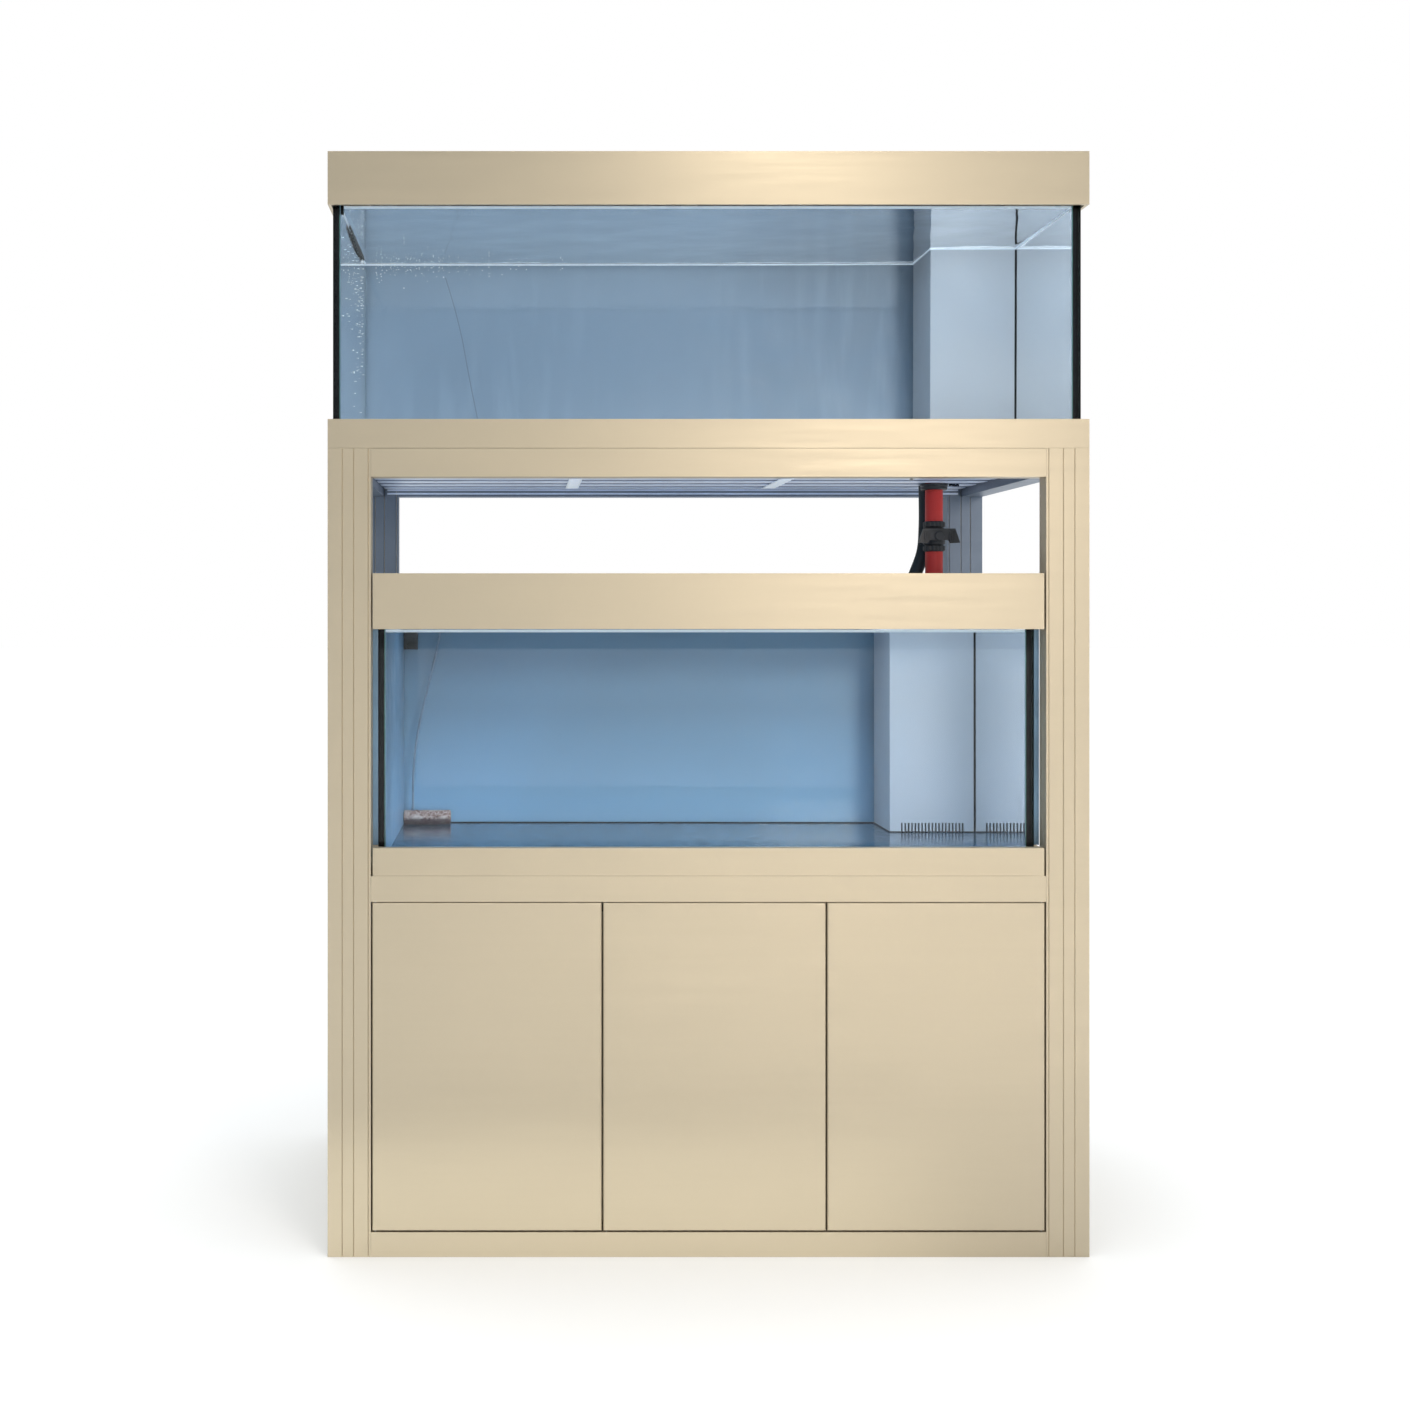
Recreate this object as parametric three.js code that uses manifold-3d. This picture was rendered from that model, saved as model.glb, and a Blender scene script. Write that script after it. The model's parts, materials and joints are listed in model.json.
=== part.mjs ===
// Two-tier aquarium on a cabinet stand: a powder-coated aluminium frame of grooved posts and box rails
// carries an upper and a lower glass tank, each with a hood and an overflow box, over a three-door
// cabinet that holds the filter sump. Millimetres, +Z up, front towards -Y, origin at the bottom centre.
import * as THREE from 'three';
import Module from 'manifold-3d';
import { mergeVertices } from 'three/addons/utils/BufferGeometryUtils.js';

const wasm = await Module();
wasm.setup();

// ---------- driving dimensions ----------
const WIDTH = 1200;
const DEPTH = 560;
const HEIGHT = 1742;
const FRONT = -DEPTH / 2;
const BACK = DEPTH / 2;
const SIDE = WIDTH / 2;
const GAP = 0.3;
const WALL = 2.5;

const POST_WIDTH = 68;
const POST_DEPTH = 30;
const POST_TOP = 1274;
const POST_GROOVES = [23, 41, 64];
const GROOVE_HALF = 0.8;
const GROOVE_DEPTH = 1;
const BETWEEN_POSTS = SIDE - POST_WIDTH;
const FRAME_INNER_Y = DEPTH / 2 - POST_DEPTH;

const FRONT_RAIL_BOTTOM = 1229;
const TOP_RAIL_BOTTOM = 1240;
const SIDE_RAIL_WIDTH = 41;
const MID_RAIL_BOTTOM = 559.3;
const MID_RAIL_TOP = 600;
const BOTTOM_RAIL_TOP = 39;

const PANEL = 16;
const PANEL_INSET = 2;
const FLOOR_BOTTOM = 26;
const BACK_PANEL = 4;
const CABLE_HOLE_RADIUS = 32;

const DOOR_THICKNESS = 18;
const DOOR_BOTTOM = 41;
const DOOR_TOP = 558;
const DOOR_GAP = 2.4;
const DOOR_SPLITS = [-167, 186.2];
const DOOR_BEVEL = 1.5;
const HINGE_INSET = 4.5;
const HINGE_ROD_RADIUS = 2;
const HINGE_BORE_RADIUS = 2.45;
const HINGE_ROD_TOP = 590;

const LATCH_RADIUS = 5;
const LATCH_BORE_RADIUS = 5.5;
const LATCH_Z = 548;
const LATCH_INSETS = [-24, -26, 26];
const LATCH_RAIL_HALF = 520;
const LATCH_RAIL_FRONT = -249.5;
const LATCH_RAIL_BACK = -229;

const DECK_BOTTOM = 1256;
const PLANK_PITCH = 67;
const PLANK_GROOVE_WIDTH = 9;
const PLANK_GROOVE_DEPTH = 7;
const LOWER_DECK_TOP = 612.4;

const GLASS = 10;
const TANK_BACK = 274;
const UPPER_TANK = { half: 594, front: -260, floor: 1277.6, base: 12, top: 1685 };
const LOWER_TANK = { half: 523, front: -250, floor: 612.7, base: 10, top: 1010 };

const OVERFLOW_WIDTH = 151;
const OVERFLOW_DEPTH = 154;
const OVERFLOW_WALL = 6;
const COMB_SLOTS = 19;
const COMB_PITCH = 6;
const COMB_SLOT_WIDTH = 3;
const COMB_SLOT_HEIGHT = 18;

const TRIM_WALL = 5;
const UPPER_TRIM_TOP = 1320;
const LOWER_TRIM_TOP = 644;
const LOWER_TRIM_THICKNESS = 14;

const UPPER_HOOD_BOTTOM = 1658;
const LOWER_HOOD = { half: 528.8, bottom: 989, top: 1077 };
const HOOD_LEDGE = 4.5;
const HOOD_ROOF = 5;
const LOWER_HOOD_LEDGE_WIDTHS = { side: 30, front: 56, back: 30 };
const UPPER_LID_OPENING = { x: 561.5, y: 241.5 };
const LID_GAP = 1.5;
const LID_THICKNESS = 8;
const STRUT_HALF = 12;
const STRUT_DEPTH = 12;
const FLAP = { half: 515, front: -262, back: -16 };
const PIPE_OPENING = { left: 408, right: 500, front: 118, back: 192 };
const LAMP_SECTION = { half: 22, height: 16, troughHalf: 17, troughDepth: 6, endInset: 30 };
const LAMPS = { upper: { half: 592, y: -40 }, lower: { half: 512, y: -110 } };

const DRAIN = { x: 475, y: 140, radius: 16, bore: 13, foot: 130, top: 1600 };
const HOSE = { radius: 12, y: 174, upperX: 468, lowerX: 428 };
const PIPE_CLEARANCE = 1.5;
const VALVE_Z = 1157;
const VALVE_HALF = 28;
const VALVE_COLLAR = 1;
const VALVE_BELLY = { out: 4, half: 14, slope: 2 };
const STEM_RADIUS = 7;
const HANDLE_SETBACK = 28;
const HANDLE_THICKNESS = 8;
const HANDLE_OUTLINE = [
  [-29, 13], [29, 13], [38, -13], [22, -14], [17, -8], [-17, -8], [-22, -14], [-38, -13],
];

const PUMP = {
  x: -20, y: 30, bodyZ: 88, bodyRadius: 38, left: -80, right: 30,
  footLeft: -76, footRight: 26, footFront: 0, footBack: 60, footBottom: 45.5, footTop: 60,
  voluteRadius: 30, voluteTop: 128, outletRadius: 14, outletFoot: 120, outletTop: 151.5,
};
const STONE = { left: -511, right: -424, y: 240, radius: 14 };
const BARB = { x: -494, radius: 2.6, from: 24, to: 38 };
const AIR_LINE_RADIUS = 2;
const NOZZLE = {
  left: -511, right: -486, front: 238, back: 262, bottom: 947, top: 1004,
  mouthLeft: -505, mouthRight: -492, mouthFront: 230, mouthBack: 257, mouthTop: 958,
};

const SUMP = { left: -130, right: 515, front: -170, back: 230, bottom: 39, top: 339, wall: 6 };
const SUMP_BAFFLES = [120, 330];
const SUMP_BAFFLE_TOP = 270;

const group = new THREE.Group();

// ---------- finishes ----------
const FINISHES = {
  champagne: { color: 0xd8c8a4, roughness: 0.38, metalness: 0.35 },
  deck: { color: 0xb9c2cc, roughness: 0.4, metalness: 0.6 },
  board: { color: 0x8f8672, roughness: 0.7, metalness: 0 },
  steel: { color: 0xb6b8ba, roughness: 0.3, metalness: 1 },
  glass: { color: 0x9fc0d6, roughness: 0.05, metalness: 0, transparent: true, opacity: 0.3 },
  white_acrylic: { color: 0xd9e4ee, roughness: 0.25, metalness: 0 },
  lid: { color: 0x3a3d40, roughness: 0.4, metalness: 0 },
  lamp: { color: 0xdfe6ee, roughness: 0.3, metalness: 0.2 },
  red_pvc: { color: 0xa63431, roughness: 0.4, metalness: 0 },
  black_plastic: { color: 0x1d2023, roughness: 0.5, metalness: 0 },
  black_rubber: { color: 0x17191b, roughness: 0.8, metalness: 0 },
  mineral: { color: 0x9b7f76, roughness: 0.95, metalness: 0 },
  clear_tube: { color: 0x7f93a8, roughness: 0.2, metalness: 0 },
};

function add(name, geometry, finish) {
  const mesh = new THREE.Mesh(geometry, new THREE.MeshStandardMaterial(FINISHES[finish]));
  mesh.name = name;
  group.add(mesh);
  return mesh;
}

// ---------- solids ----------
function block(x0, x1, y0, y1, z0, z1) {
  const geometry = new THREE.BoxGeometry(x1 - x0, y1 - y0, z1 - z0);
  return geometry.translate((x0 + x1) / 2, (y0 + y1) / 2, (z0 + z1) / 2);
}

function rod(radius, x, y, z0, z1, sides = 20) {
  const geometry = new THREE.CylinderGeometry(radius, radius, z1 - z0, sides);
  return geometry.rotateX(Math.PI / 2).translate(x, y, (z0 + z1) / 2);
}

function rodAlongY(radius, x, z, y0, y1, sides = 20) {
  const geometry = new THREE.CylinderGeometry(radius, radius, y1 - y0, sides);
  return geometry.translate(x, (y0 + y1) / 2, z);
}

function rodAlongX(radius, y, z, x0, x1, sides = 20) {
  const geometry = new THREE.CylinderGeometry(radius, radius, x1 - x0, sides);
  return geometry.rotateZ(Math.PI / 2).translate((x0 + x1) / 2, y, z);
}

function toSolid(geometry) {
  const bare = geometry.clone();
  bare.deleteAttribute('normal');
  bare.deleteAttribute('uv');
  const merged = mergeVertices(bare, 1e-4);
  const vertProperties = new Float32Array(merged.attributes.position.array);
  const triVerts = new Uint32Array(merged.index.array);
  return new wasm.Manifold(new wasm.Mesh({ numProp: 3, vertProperties, triVerts }));
}

function toGeometry(solid) {
  const { vertProperties, triVerts } = solid.getMesh();
  const geometry = new THREE.BufferGeometry();
  geometry.setAttribute('position', new THREE.BufferAttribute(new Float32Array(vertProperties), 3));
  geometry.setIndex(new THREE.BufferAttribute(new Uint32Array(triVerts), 1));
  geometry.computeVertexNormals();
  return geometry;
}

function join(...geometries) {
  return toGeometry(geometries.map(toSolid).reduce((whole, piece) => whole.add(piece)));
}

function cut(geometry, ...tools) {
  return toGeometry(tools.map(toSolid).reduce((whole, tool) => whole.subtract(tool), toSolid(geometry)));
}

// A box section open at both ends along the named axis.
function boxSection(axis, x0, x1, y0, y1, z0, z1) {
  const past = 5;
  const inset = { x: WALL, y: WALL, z: WALL, [axis]: -past };
  const inner = block(
    x0 + inset.x, x1 - inset.x, y0 + inset.y, y1 - inset.y, z0 + inset.z, z1 - inset.z);
  return cut(block(x0, x1, y0, y1, z0, z1), inner);
}

// A rectangular ring, open in the middle, for hoods, trims and ledges.
function ring(outerX, outerFront, outerBack, innerX, innerFront, innerBack, z0, z1) {
  const past = 5;
  const outer = block(-outerX, outerX, outerFront, outerBack, z0, z1);
  return cut(outer, block(-innerX, innerX, innerFront, innerBack, z0 - past, z1 + past));
}

function pipeHole(pipe, x, z0, z1) {
  return rod(pipe.radius + PIPE_CLEARANCE, x, pipe.y, z0, z1, 24);
}

// ---------- frame: posts and rails ----------
function postOutline(side, front) {
  const outline = [[0, 0]];
  for (const groove of POST_GROOVES) {
    outline.push([groove - GROOVE_HALF, 0], [groove, GROOVE_DEPTH], [groove + GROOVE_HALF, 0]);
  }
  outline.push([POST_WIDTH, 0], [POST_WIDTH, POST_DEPTH]);
  for (const groove of [...POST_GROOVES].reverse()) {
    const far = POST_DEPTH;
    outline.push([groove + GROOVE_HALF, far], [groove, far - GROOVE_DEPTH], [groove - GROOVE_HALF, far]);
  }
  outline.push([0, POST_DEPTH]);
  const place = ([u, v]) => new THREE.Vector2(side * (SIDE - u), front + v);
  const shape = new THREE.Shape(outline.map(place));
  const farU = POST_WIDTH - WALL;
  const farV = POST_DEPTH - WALL;
  const hollow = [[WALL, WALL], [WALL, farV], [farU, farV], [farU, WALL]];
  shape.holes.push(new THREE.Path(hollow.map(place)));
  return shape;
}

function buildPosts() {
  for (const [end, front] of [['front', FRONT], ['back', BACK - POST_DEPTH]]) {
    for (const [hand, side] of [['left', -1], ['right', 1]]) {
      const shape = postOutline(side, front);
      const geometry = new THREE.ExtrudeGeometry(shape, { depth: POST_TOP, bevelEnabled: false });
      add(`post_${end}_${hand}`, geometry, 'champagne');
    }
  }
}

function buildTopRails() {
  const span = BETWEEN_POSTS - GAP;
  const top = POST_TOP - GAP;
  const run = FRAME_INNER_Y - GAP;
  add('top_rail_front',
    boxSection('x', -span, span, FRONT, FRONT + POST_DEPTH, FRONT_RAIL_BOTTOM, top), 'champagne');
  add('top_rail_back',
    boxSection('x', -span, span, BACK - POST_DEPTH, BACK, TOP_RAIL_BOTTOM, top), 'champagne');
  add('top_rail_left',
    boxSection('y', -SIDE, -SIDE + SIDE_RAIL_WIDTH, -run, run, TOP_RAIL_BOTTOM, top), 'champagne');
  add('top_rail_right',
    boxSection('y', SIDE - SIDE_RAIL_WIDTH, SIDE, -run, run, TOP_RAIL_BOTTOM, top), 'champagne');
}

function hingeBores() {
  return hingeXs().map((x) => rod(HINGE_BORE_RADIUS, x, FRONT + HINGE_INSET, 3, 592, 12));
}

function buildCabinetRails() {
  const span = BETWEEN_POSTS - GAP;
  const frontBack = FRONT + POST_DEPTH;
  const backFront = BACK - POST_DEPTH;
  add('mid_rail_front',
    cut(boxSection('x', -span, span, FRONT, frontBack, MID_RAIL_BOTTOM, MID_RAIL_TOP), ...hingeBores()),
    'champagne');
  add('mid_rail_back',
    boxSection('x', -span, span, backFront, BACK, MID_RAIL_BOTTOM, MID_RAIL_TOP), 'champagne');
  add('bottom_rail_front',
    cut(boxSection('x', -span, span, FRONT, frontBack, 0, BOTTOM_RAIL_TOP), ...hingeBores()),
    'champagne');
  add('bottom_rail_back',
    boxSection('x', -span, span, backFront, BACK, 0, BOTTOM_RAIL_TOP), 'champagne');
}

// ---------- decks ----------
function buildUpperDeck() {
  const halfX = SIDE - SIDE_RAIL_WIDTH - GAP;
  const halfY = FRAME_INNER_Y - GAP;
  const grooves = [];
  for (let y = -halfY + PLANK_PITCH; y < halfY; y += PLANK_PITCH) {
    const half = PLANK_GROOVE_WIDTH / 2;
    const past = halfX + 5;
    grooves.push(block(-past, past, y - half, y + half, DECK_BOTTOM - 5, DECK_BOTTOM + PLANK_GROOVE_DEPTH));
  }
  const holes = [pipeHole(DRAIN, DRAIN.x, 1200, 1300), pipeHole(HOSE, HOSE.upperX, 1200, 1300)];
  const deck = block(-halfX, halfX, -halfY, halfY, DECK_BOTTOM, POST_TOP - GAP);
  add('upper_deck', cut(deck, ...grooves, ...holes), 'deck');
}

function buildLowerDeck() {
  const bottom = MID_RAIL_TOP + GAP;
  const between = BETWEEN_POSTS - GAP;
  const wide = block(-SIDE + PANEL_INSET, SIDE - PANEL_INSET,
    -FRAME_INNER_Y + GAP, FRAME_INNER_Y - GAP, bottom, LOWER_DECK_TOP);
  const deep = block(-between, between, FRONT + LOWER_TRIM_THICKNESS + GAP, BACK, bottom, LOWER_DECK_TOP);
  const holes = [pipeHole(DRAIN, DRAIN.x, 580, 640), pipeHole(HOSE, HOSE.lowerX, 580, 640)];
  add('lower_deck', cut(join(wide, deep), ...holes), 'board');
}

// ---------- cabinet ----------
function buildCabinet() {
  const run = FRAME_INNER_Y - GAP;
  const outer = SIDE - PANEL_INSET;
  add('side_panel_left', block(-outer, -outer + PANEL, -run, run, 0, MID_RAIL_TOP), 'champagne');
  add('side_panel_right', block(outer - PANEL, outer, -run, run, 0, MID_RAIL_TOP), 'champagne');

  const inner = outer - PANEL - GAP;
  const floorTop = BOTTOM_RAIL_TOP - GAP;
  add('cabinet_floor', block(-inner, inner, -run, run, FLOOR_BOTTOM, floorTop), 'board');

  const span = BETWEEN_POSTS - GAP;
  const sheet = block(-span, span, BACK - 15, BACK - 15 + BACK_PANEL,
    BOTTOM_RAIL_TOP + GAP, MID_RAIL_BOTTOM - GAP);
  const cableHoles = [-400, 400].map((x) => rodAlongY(CABLE_HOLE_RADIUS, x, 440, 200, 300, 28));
  add('back_panel', cut(sheet, ...cableHoles), 'champagne');

  const half = PANEL / 2;
  const dividerX = DOOR_SPLITS[0];
  add('divider',
    block(dividerX - half, dividerX + half, LATCH_RAIL_BACK + GAP, run, BOTTOM_RAIL_TOP, MID_RAIL_TOP),
    'champagne');
}

// ---------- doors ----------
function doorSpans() {
  const edge = BETWEEN_POSTS - DOOR_GAP + GAP;
  const half = DOOR_GAP / 2;
  return [
    { name: 'left', x0: -edge, x1: DOOR_SPLITS[0] - half, hinge: 'x0' },
    { name: 'middle', x0: DOOR_SPLITS[0] + half, x1: DOOR_SPLITS[1] - half, hinge: 'x0' },
    { name: 'right', x0: DOOR_SPLITS[1] + half, x1: edge, hinge: 'x1' },
  ];
}

function hingeXs() {
  return doorSpans().map((door) => (door.hinge === 'x0' ? door.x0 + HINGE_INSET : door.x1 - HINGE_INSET));
}

// A flat leaf with a chamfer round both faces, standing in the XZ plane behind the front face.
function doorLeaf({ x0, x1 }) {
  const b = DOOR_BEVEL;
  const corners = [
    [x0 + b, DOOR_BOTTOM + b], [x1 - b, DOOR_BOTTOM + b], [x1 - b, DOOR_TOP - b], [x0 + b, DOOR_TOP - b],
  ];
  const shape = new THREE.Shape(corners.map(([x, z]) => new THREE.Vector2(x, z)));
  const settings = {
    depth: DOOR_THICKNESS - 2 * b, bevelEnabled: true, bevelSize: b, bevelThickness: b, bevelSegments: 1 };
  const leaf = new THREE.ExtrudeGeometry(shape, settings);
  return leaf.rotateX(Math.PI / 2).translate(0, FRONT + DOOR_THICKNESS - b, 0);
}

function buildDoors() {
  const hinges = hingeXs();
  doorSpans().forEach((door, index) => {
    const y = FRONT + HINGE_INSET;
    const bore = rod(HINGE_BORE_RADIUS, hinges[index], y, 0, 600, 12);
    add(`door_${door.name}`, cut(doorLeaf(door), bore), 'champagne');
    add(`hinge_rod_${door.name}`,
      rod(HINGE_ROD_RADIUS, hinges[index], y, 3 + GAP, HINGE_ROD_TOP, 12), 'steel');
  });
}

// Push latches: one rail behind the door tops, with a sprung plunger at each door's free corner.
function buildLatches() {
  const spots = [
    ['left', DOOR_SPLITS[0] + LATCH_INSETS[0]],
    ['middle', DOOR_SPLITS[1] + LATCH_INSETS[1]],
    ['right', DOOR_SPLITS[1] + LATCH_INSETS[2]],
  ];
  const rail = block(-LATCH_RAIL_HALF, LATCH_RAIL_HALF, LATCH_RAIL_FRONT, LATCH_RAIL_BACK,
    LATCH_Z - 2 * LATCH_RADIUS, MID_RAIL_BOTTOM - GAP);
  const bores = spots.map(([, x]) => rodAlongY(LATCH_BORE_RADIUS, x, LATCH_Z,
    LATCH_RAIL_FRONT - 5, LATCH_RAIL_BACK + 5));
  add('latch_rail', cut(rail, ...bores), 'black_plastic');
  const tip = FRONT + DOOR_THICKNESS + GAP;
  for (const [hand, x] of spots) {
    add(`latch_plunger_${hand}`, rodAlongY(LATCH_RADIUS, x, LATCH_Z, tip, LATCH_RAIL_BACK - 5), 'steel');
  }
}

// ---------- tanks ----------
function buildTank(name, tank) {
  const wallBottom = tank.floor + tank.base + GAP;
  const sideFront = tank.front + GLASS + GAP;
  const sideBack = TANK_BACK - GLASS - GAP;
  const x = tank.half;
  const holes = [
    pipeHole(DRAIN, DRAIN.x, tank.floor - 5, tank.floor + 30),
    pipeHole(HOSE, tank === UPPER_TANK ? HOSE.upperX : HOSE.lowerX, tank.floor - 5, tank.floor + 30)];
  const bottom = block(-x, x, tank.front, TANK_BACK, tank.floor, tank.floor + tank.base);
  add(`${name}_tank_bottom`, cut(bottom, ...holes), 'glass');
  add(`${name}_tank_front`, block(-x, x, tank.front, tank.front + GLASS, wallBottom, tank.top), 'glass');
  add(`${name}_tank_back`, block(-x, x, TANK_BACK - GLASS, TANK_BACK, wallBottom, tank.top), 'glass');
  add(`${name}_tank_left`, block(-x, -x + GLASS, sideFront, sideBack, wallBottom, tank.top), 'glass');
  add(`${name}_tank_right`, block(x - GLASS, x, sideFront, sideBack, wallBottom, tank.top), 'glass');
}

// Two upright walls that close off the tank's right back corner, with a comb of slots at the foot.
function buildOverflow(name, tank) {
  const right = tank.half - GLASS - GAP;
  const left = right - OVERFLOW_WIDTH;
  const back = TANK_BACK - GLASS - GAP;
  const front = back - OVERFLOW_DEPTH;
  const bottom = tank.floor + tank.base + GAP;
  const top = tank.top - 8;
  const face = block(left, right, front, front + OVERFLOW_WALL, bottom, top);
  const cheek = block(left, left + OVERFLOW_WALL, front, back, bottom, top);
  const slots = [];
  const middle = (left + right) / 2;
  for (let i = 0; i < COMB_SLOTS; i += 1) {
    const x = middle + (i - (COMB_SLOTS - 1) / 2) * COMB_PITCH;
    const half = COMB_SLOT_WIDTH / 2;
    slots.push(block(x - half, x + half, front - 5, front + OVERFLOW_WALL + 5,
      bottom - 5, bottom + COMB_SLOT_HEIGHT));
  }
  add(`${name}_overflow_box`, cut(join(face, cheek), ...slots), 'white_acrylic');
}

// ---------- base trims and hoods ----------
function buildTrims() {
  const bottom = POST_TOP + GAP;
  const skirt = ring(SIDE, FRONT, BACK, SIDE - TRIM_WALL, FRONT + TRIM_WALL, BACK - TRIM_WALL,
    bottom, UPPER_TRIM_TOP);
  const flange = ring(SIDE - 1, FRONT + 1, BACK - 1, SIDE - 40, FRONT + 40, BACK - 40, bottom, bottom + 3);
  add('upper_base_trim', join(skirt, flange), 'champagne');

  const half = LOWER_HOOD.half;
  add('lower_base_trim',
    block(-half, half, FRONT, FRONT + LOWER_TRIM_THICKNESS, MID_RAIL_TOP + GAP, LOWER_TRIM_TOP),
    'champagne');
}

function buildUpperHood() {
  const opening = UPPER_LID_OPENING;
  const wall = ring(SIDE, FRONT, BACK, SIDE - TRIM_WALL, FRONT + TRIM_WALL, BACK - TRIM_WALL,
    UPPER_HOOD_BOTTOM, HEIGHT);
  const ledgeBottom = UPPER_TANK.top + GAP;
  const ledge = ring(SIDE - 1, FRONT + 1, BACK - 1,
    UPPER_TANK.half - GLASS, UPPER_TANK.front + GLASS, TANK_BACK - GLASS,
    ledgeBottom, ledgeBottom + HOOD_LEDGE);
  const roof = ring(SIDE - 1, FRONT + 1, BACK - 1, opening.x, -opening.y, opening.y,
    HEIGHT - HOOD_ROOF, HEIGHT);
  const strutTop = HEIGHT - LID_THICKNESS - GAP;
  const strut = block(-STRUT_HALF, STRUT_HALF, FRONT + 2, BACK - 2, strutTop - STRUT_DEPTH, strutTop);
  add('upper_hood', join(wall, ledge, roof, strut), 'champagne');

  const reach = { x: opening.x - LID_GAP, y: opening.y - LID_GAP };
  const lidBottom = HEIGHT - LID_THICKNESS;
  add('upper_lid_left', block(-reach.x, -LID_GAP, -reach.y, reach.y, lidBottom, HEIGHT), 'lid');
  add('upper_lid_right', block(LID_GAP, reach.x, -reach.y, reach.y, lidBottom, HEIGHT), 'lid');
}

function buildLowerHood() {
  const { half, bottom, top } = LOWER_HOOD;
  const inner = half - TRIM_WALL;
  const wall = ring(half, FRONT, BACK, inner, FRONT + TRIM_WALL, BACK - TRIM_WALL, bottom, top);
  const ledgeBottom = LOWER_TANK.top + GAP;
  const widths = LOWER_HOOD_LEDGE_WIDTHS;
  const ledge = ring(half - 1, FRONT + 1, BACK - 1,
    half - widths.side, FRONT + widths.front, BACK - widths.back,
    ledgeBottom, ledgeBottom + HOOD_LEDGE);
  const roof = block(-half + 1, half - 1, FRONT + 1, BACK - 1, top - HOOD_ROOF, top);
  const flapOpening = block(-FLAP.half - LID_GAP, FLAP.half + LID_GAP,
    FLAP.front - LID_GAP, FLAP.back + LID_GAP, top - 2 * HOOD_ROOF, top + HOOD_ROOF);
  const pipeOpening = block(PIPE_OPENING.left, PIPE_OPENING.right,
    PIPE_OPENING.front, PIPE_OPENING.back, top - 2 * HOOD_ROOF, top + HOOD_ROOF);
  const roofFrame = cut(roof, flapOpening, pipeOpening);
  add('lower_hood', join(wall, ledge, roofFrame), 'champagne');
  add('lower_lid', block(-FLAP.half, FLAP.half, FLAP.front, FLAP.back, top - LID_THICKNESS, top), 'lid');
}

// A lamp bar lies across each hood's ledge, with its shallow trough facing down.
function buildLamps() {
  const upperZ = UPPER_TANK.top + GAP + HOOD_LEDGE + GAP;
  const lowerZ = LOWER_TANK.top + GAP + HOOD_LEDGE + GAP;
  const section = LAMP_SECTION;
  for (const [name, z] of [['upper', upperZ], ['lower', lowerZ]]) {
    const { half, y } = LAMPS[name];
    const reach = half - section.endInset;
    const bar = block(-half, half, y - section.half, y + section.half, z, z + section.height);
    const trough = block(-reach, reach, y - section.troughHalf, y + section.troughHalf,
      z - section.troughDepth, z + section.troughDepth);
    add(`lamp_bar_${name}`, cut(bar, trough), 'lamp');
  }
}

// ---------- plumbing ----------
function tubeAlong(points, radius, steps, sides) {
  const section = new THREE.Shape();
  section.absarc(0, 0, radius, 0, Math.PI * 2);
  const path = new THREE.CatmullRomCurve3(points.map((p) => new THREE.Vector3(...p)), false, 'centripetal');
  const settings = { steps, curveSegments: sides / 2, extrudePath: path, bevelEnabled: false };
  return new THREE.ExtrudeGeometry(section, settings);
}

function lathe(profile, x, y, sides = 28) {
  const outline = profile.map(([r, z]) => new THREE.Vector2(r, z));
  return new THREE.LatheGeometry(outline, sides).rotateX(Math.PI / 2).translate(x, y, 0);
}

// A tube or ring turned round the vertical: its profile closes on itself.
function turnedRing(inner, outer, z0, z1, x, y) {
  return lathe([[inner, z0], [outer, z0], [outer, z1], [inner, z1], [inner, z0]], x, y);
}

function buildDrain() {
  const { x, y, radius, bore, foot } = DRAIN;
  const top = VALVE_Z + VALVE_HALF;
  const bottom = VALVE_Z - VALVE_HALF;
  add('drain_pipe_upper', turnedRing(bore, radius, top + GAP, DRAIN.top, x, y), 'red_pvc');
  add('drain_pipe_lower', turnedRing(bore, radius, foot, bottom - GAP, x, y), 'red_pvc');

  const collar = radius + VALVE_COLLAR;
  const belly = radius + VALVE_BELLY.out;
  const half = VALVE_BELLY.half;
  const shoulder = half + VALVE_BELLY.slope;
  const valve = lathe([
    [bore, bottom], [collar, bottom], [collar, VALVE_Z - shoulder], [belly, VALVE_Z - half],
    [belly, VALVE_Z + half], [collar, VALVE_Z + shoulder], [collar, top], [bore, top], [bore, bottom],
  ], x, y);
  const handleBack = y - HANDLE_SETBACK;
  const stem = rodAlongY(STEM_RADIUS, x, VALVE_Z, handleBack, y - collar);
  add('drain_valve', join(valve, stem), 'black_plastic');

  const wings = new THREE.Shape(HANDLE_OUTLINE.map(([u, v]) => new THREE.Vector2(x + u, VALVE_Z + v)));
  const plate = new THREE.ExtrudeGeometry(wings, { depth: HANDLE_THICKNESS, bevelEnabled: false });
  add('valve_handle', plate.rotateX(Math.PI / 2).translate(0, handleBack - GAP, 0), 'black_plastic');
}

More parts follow.
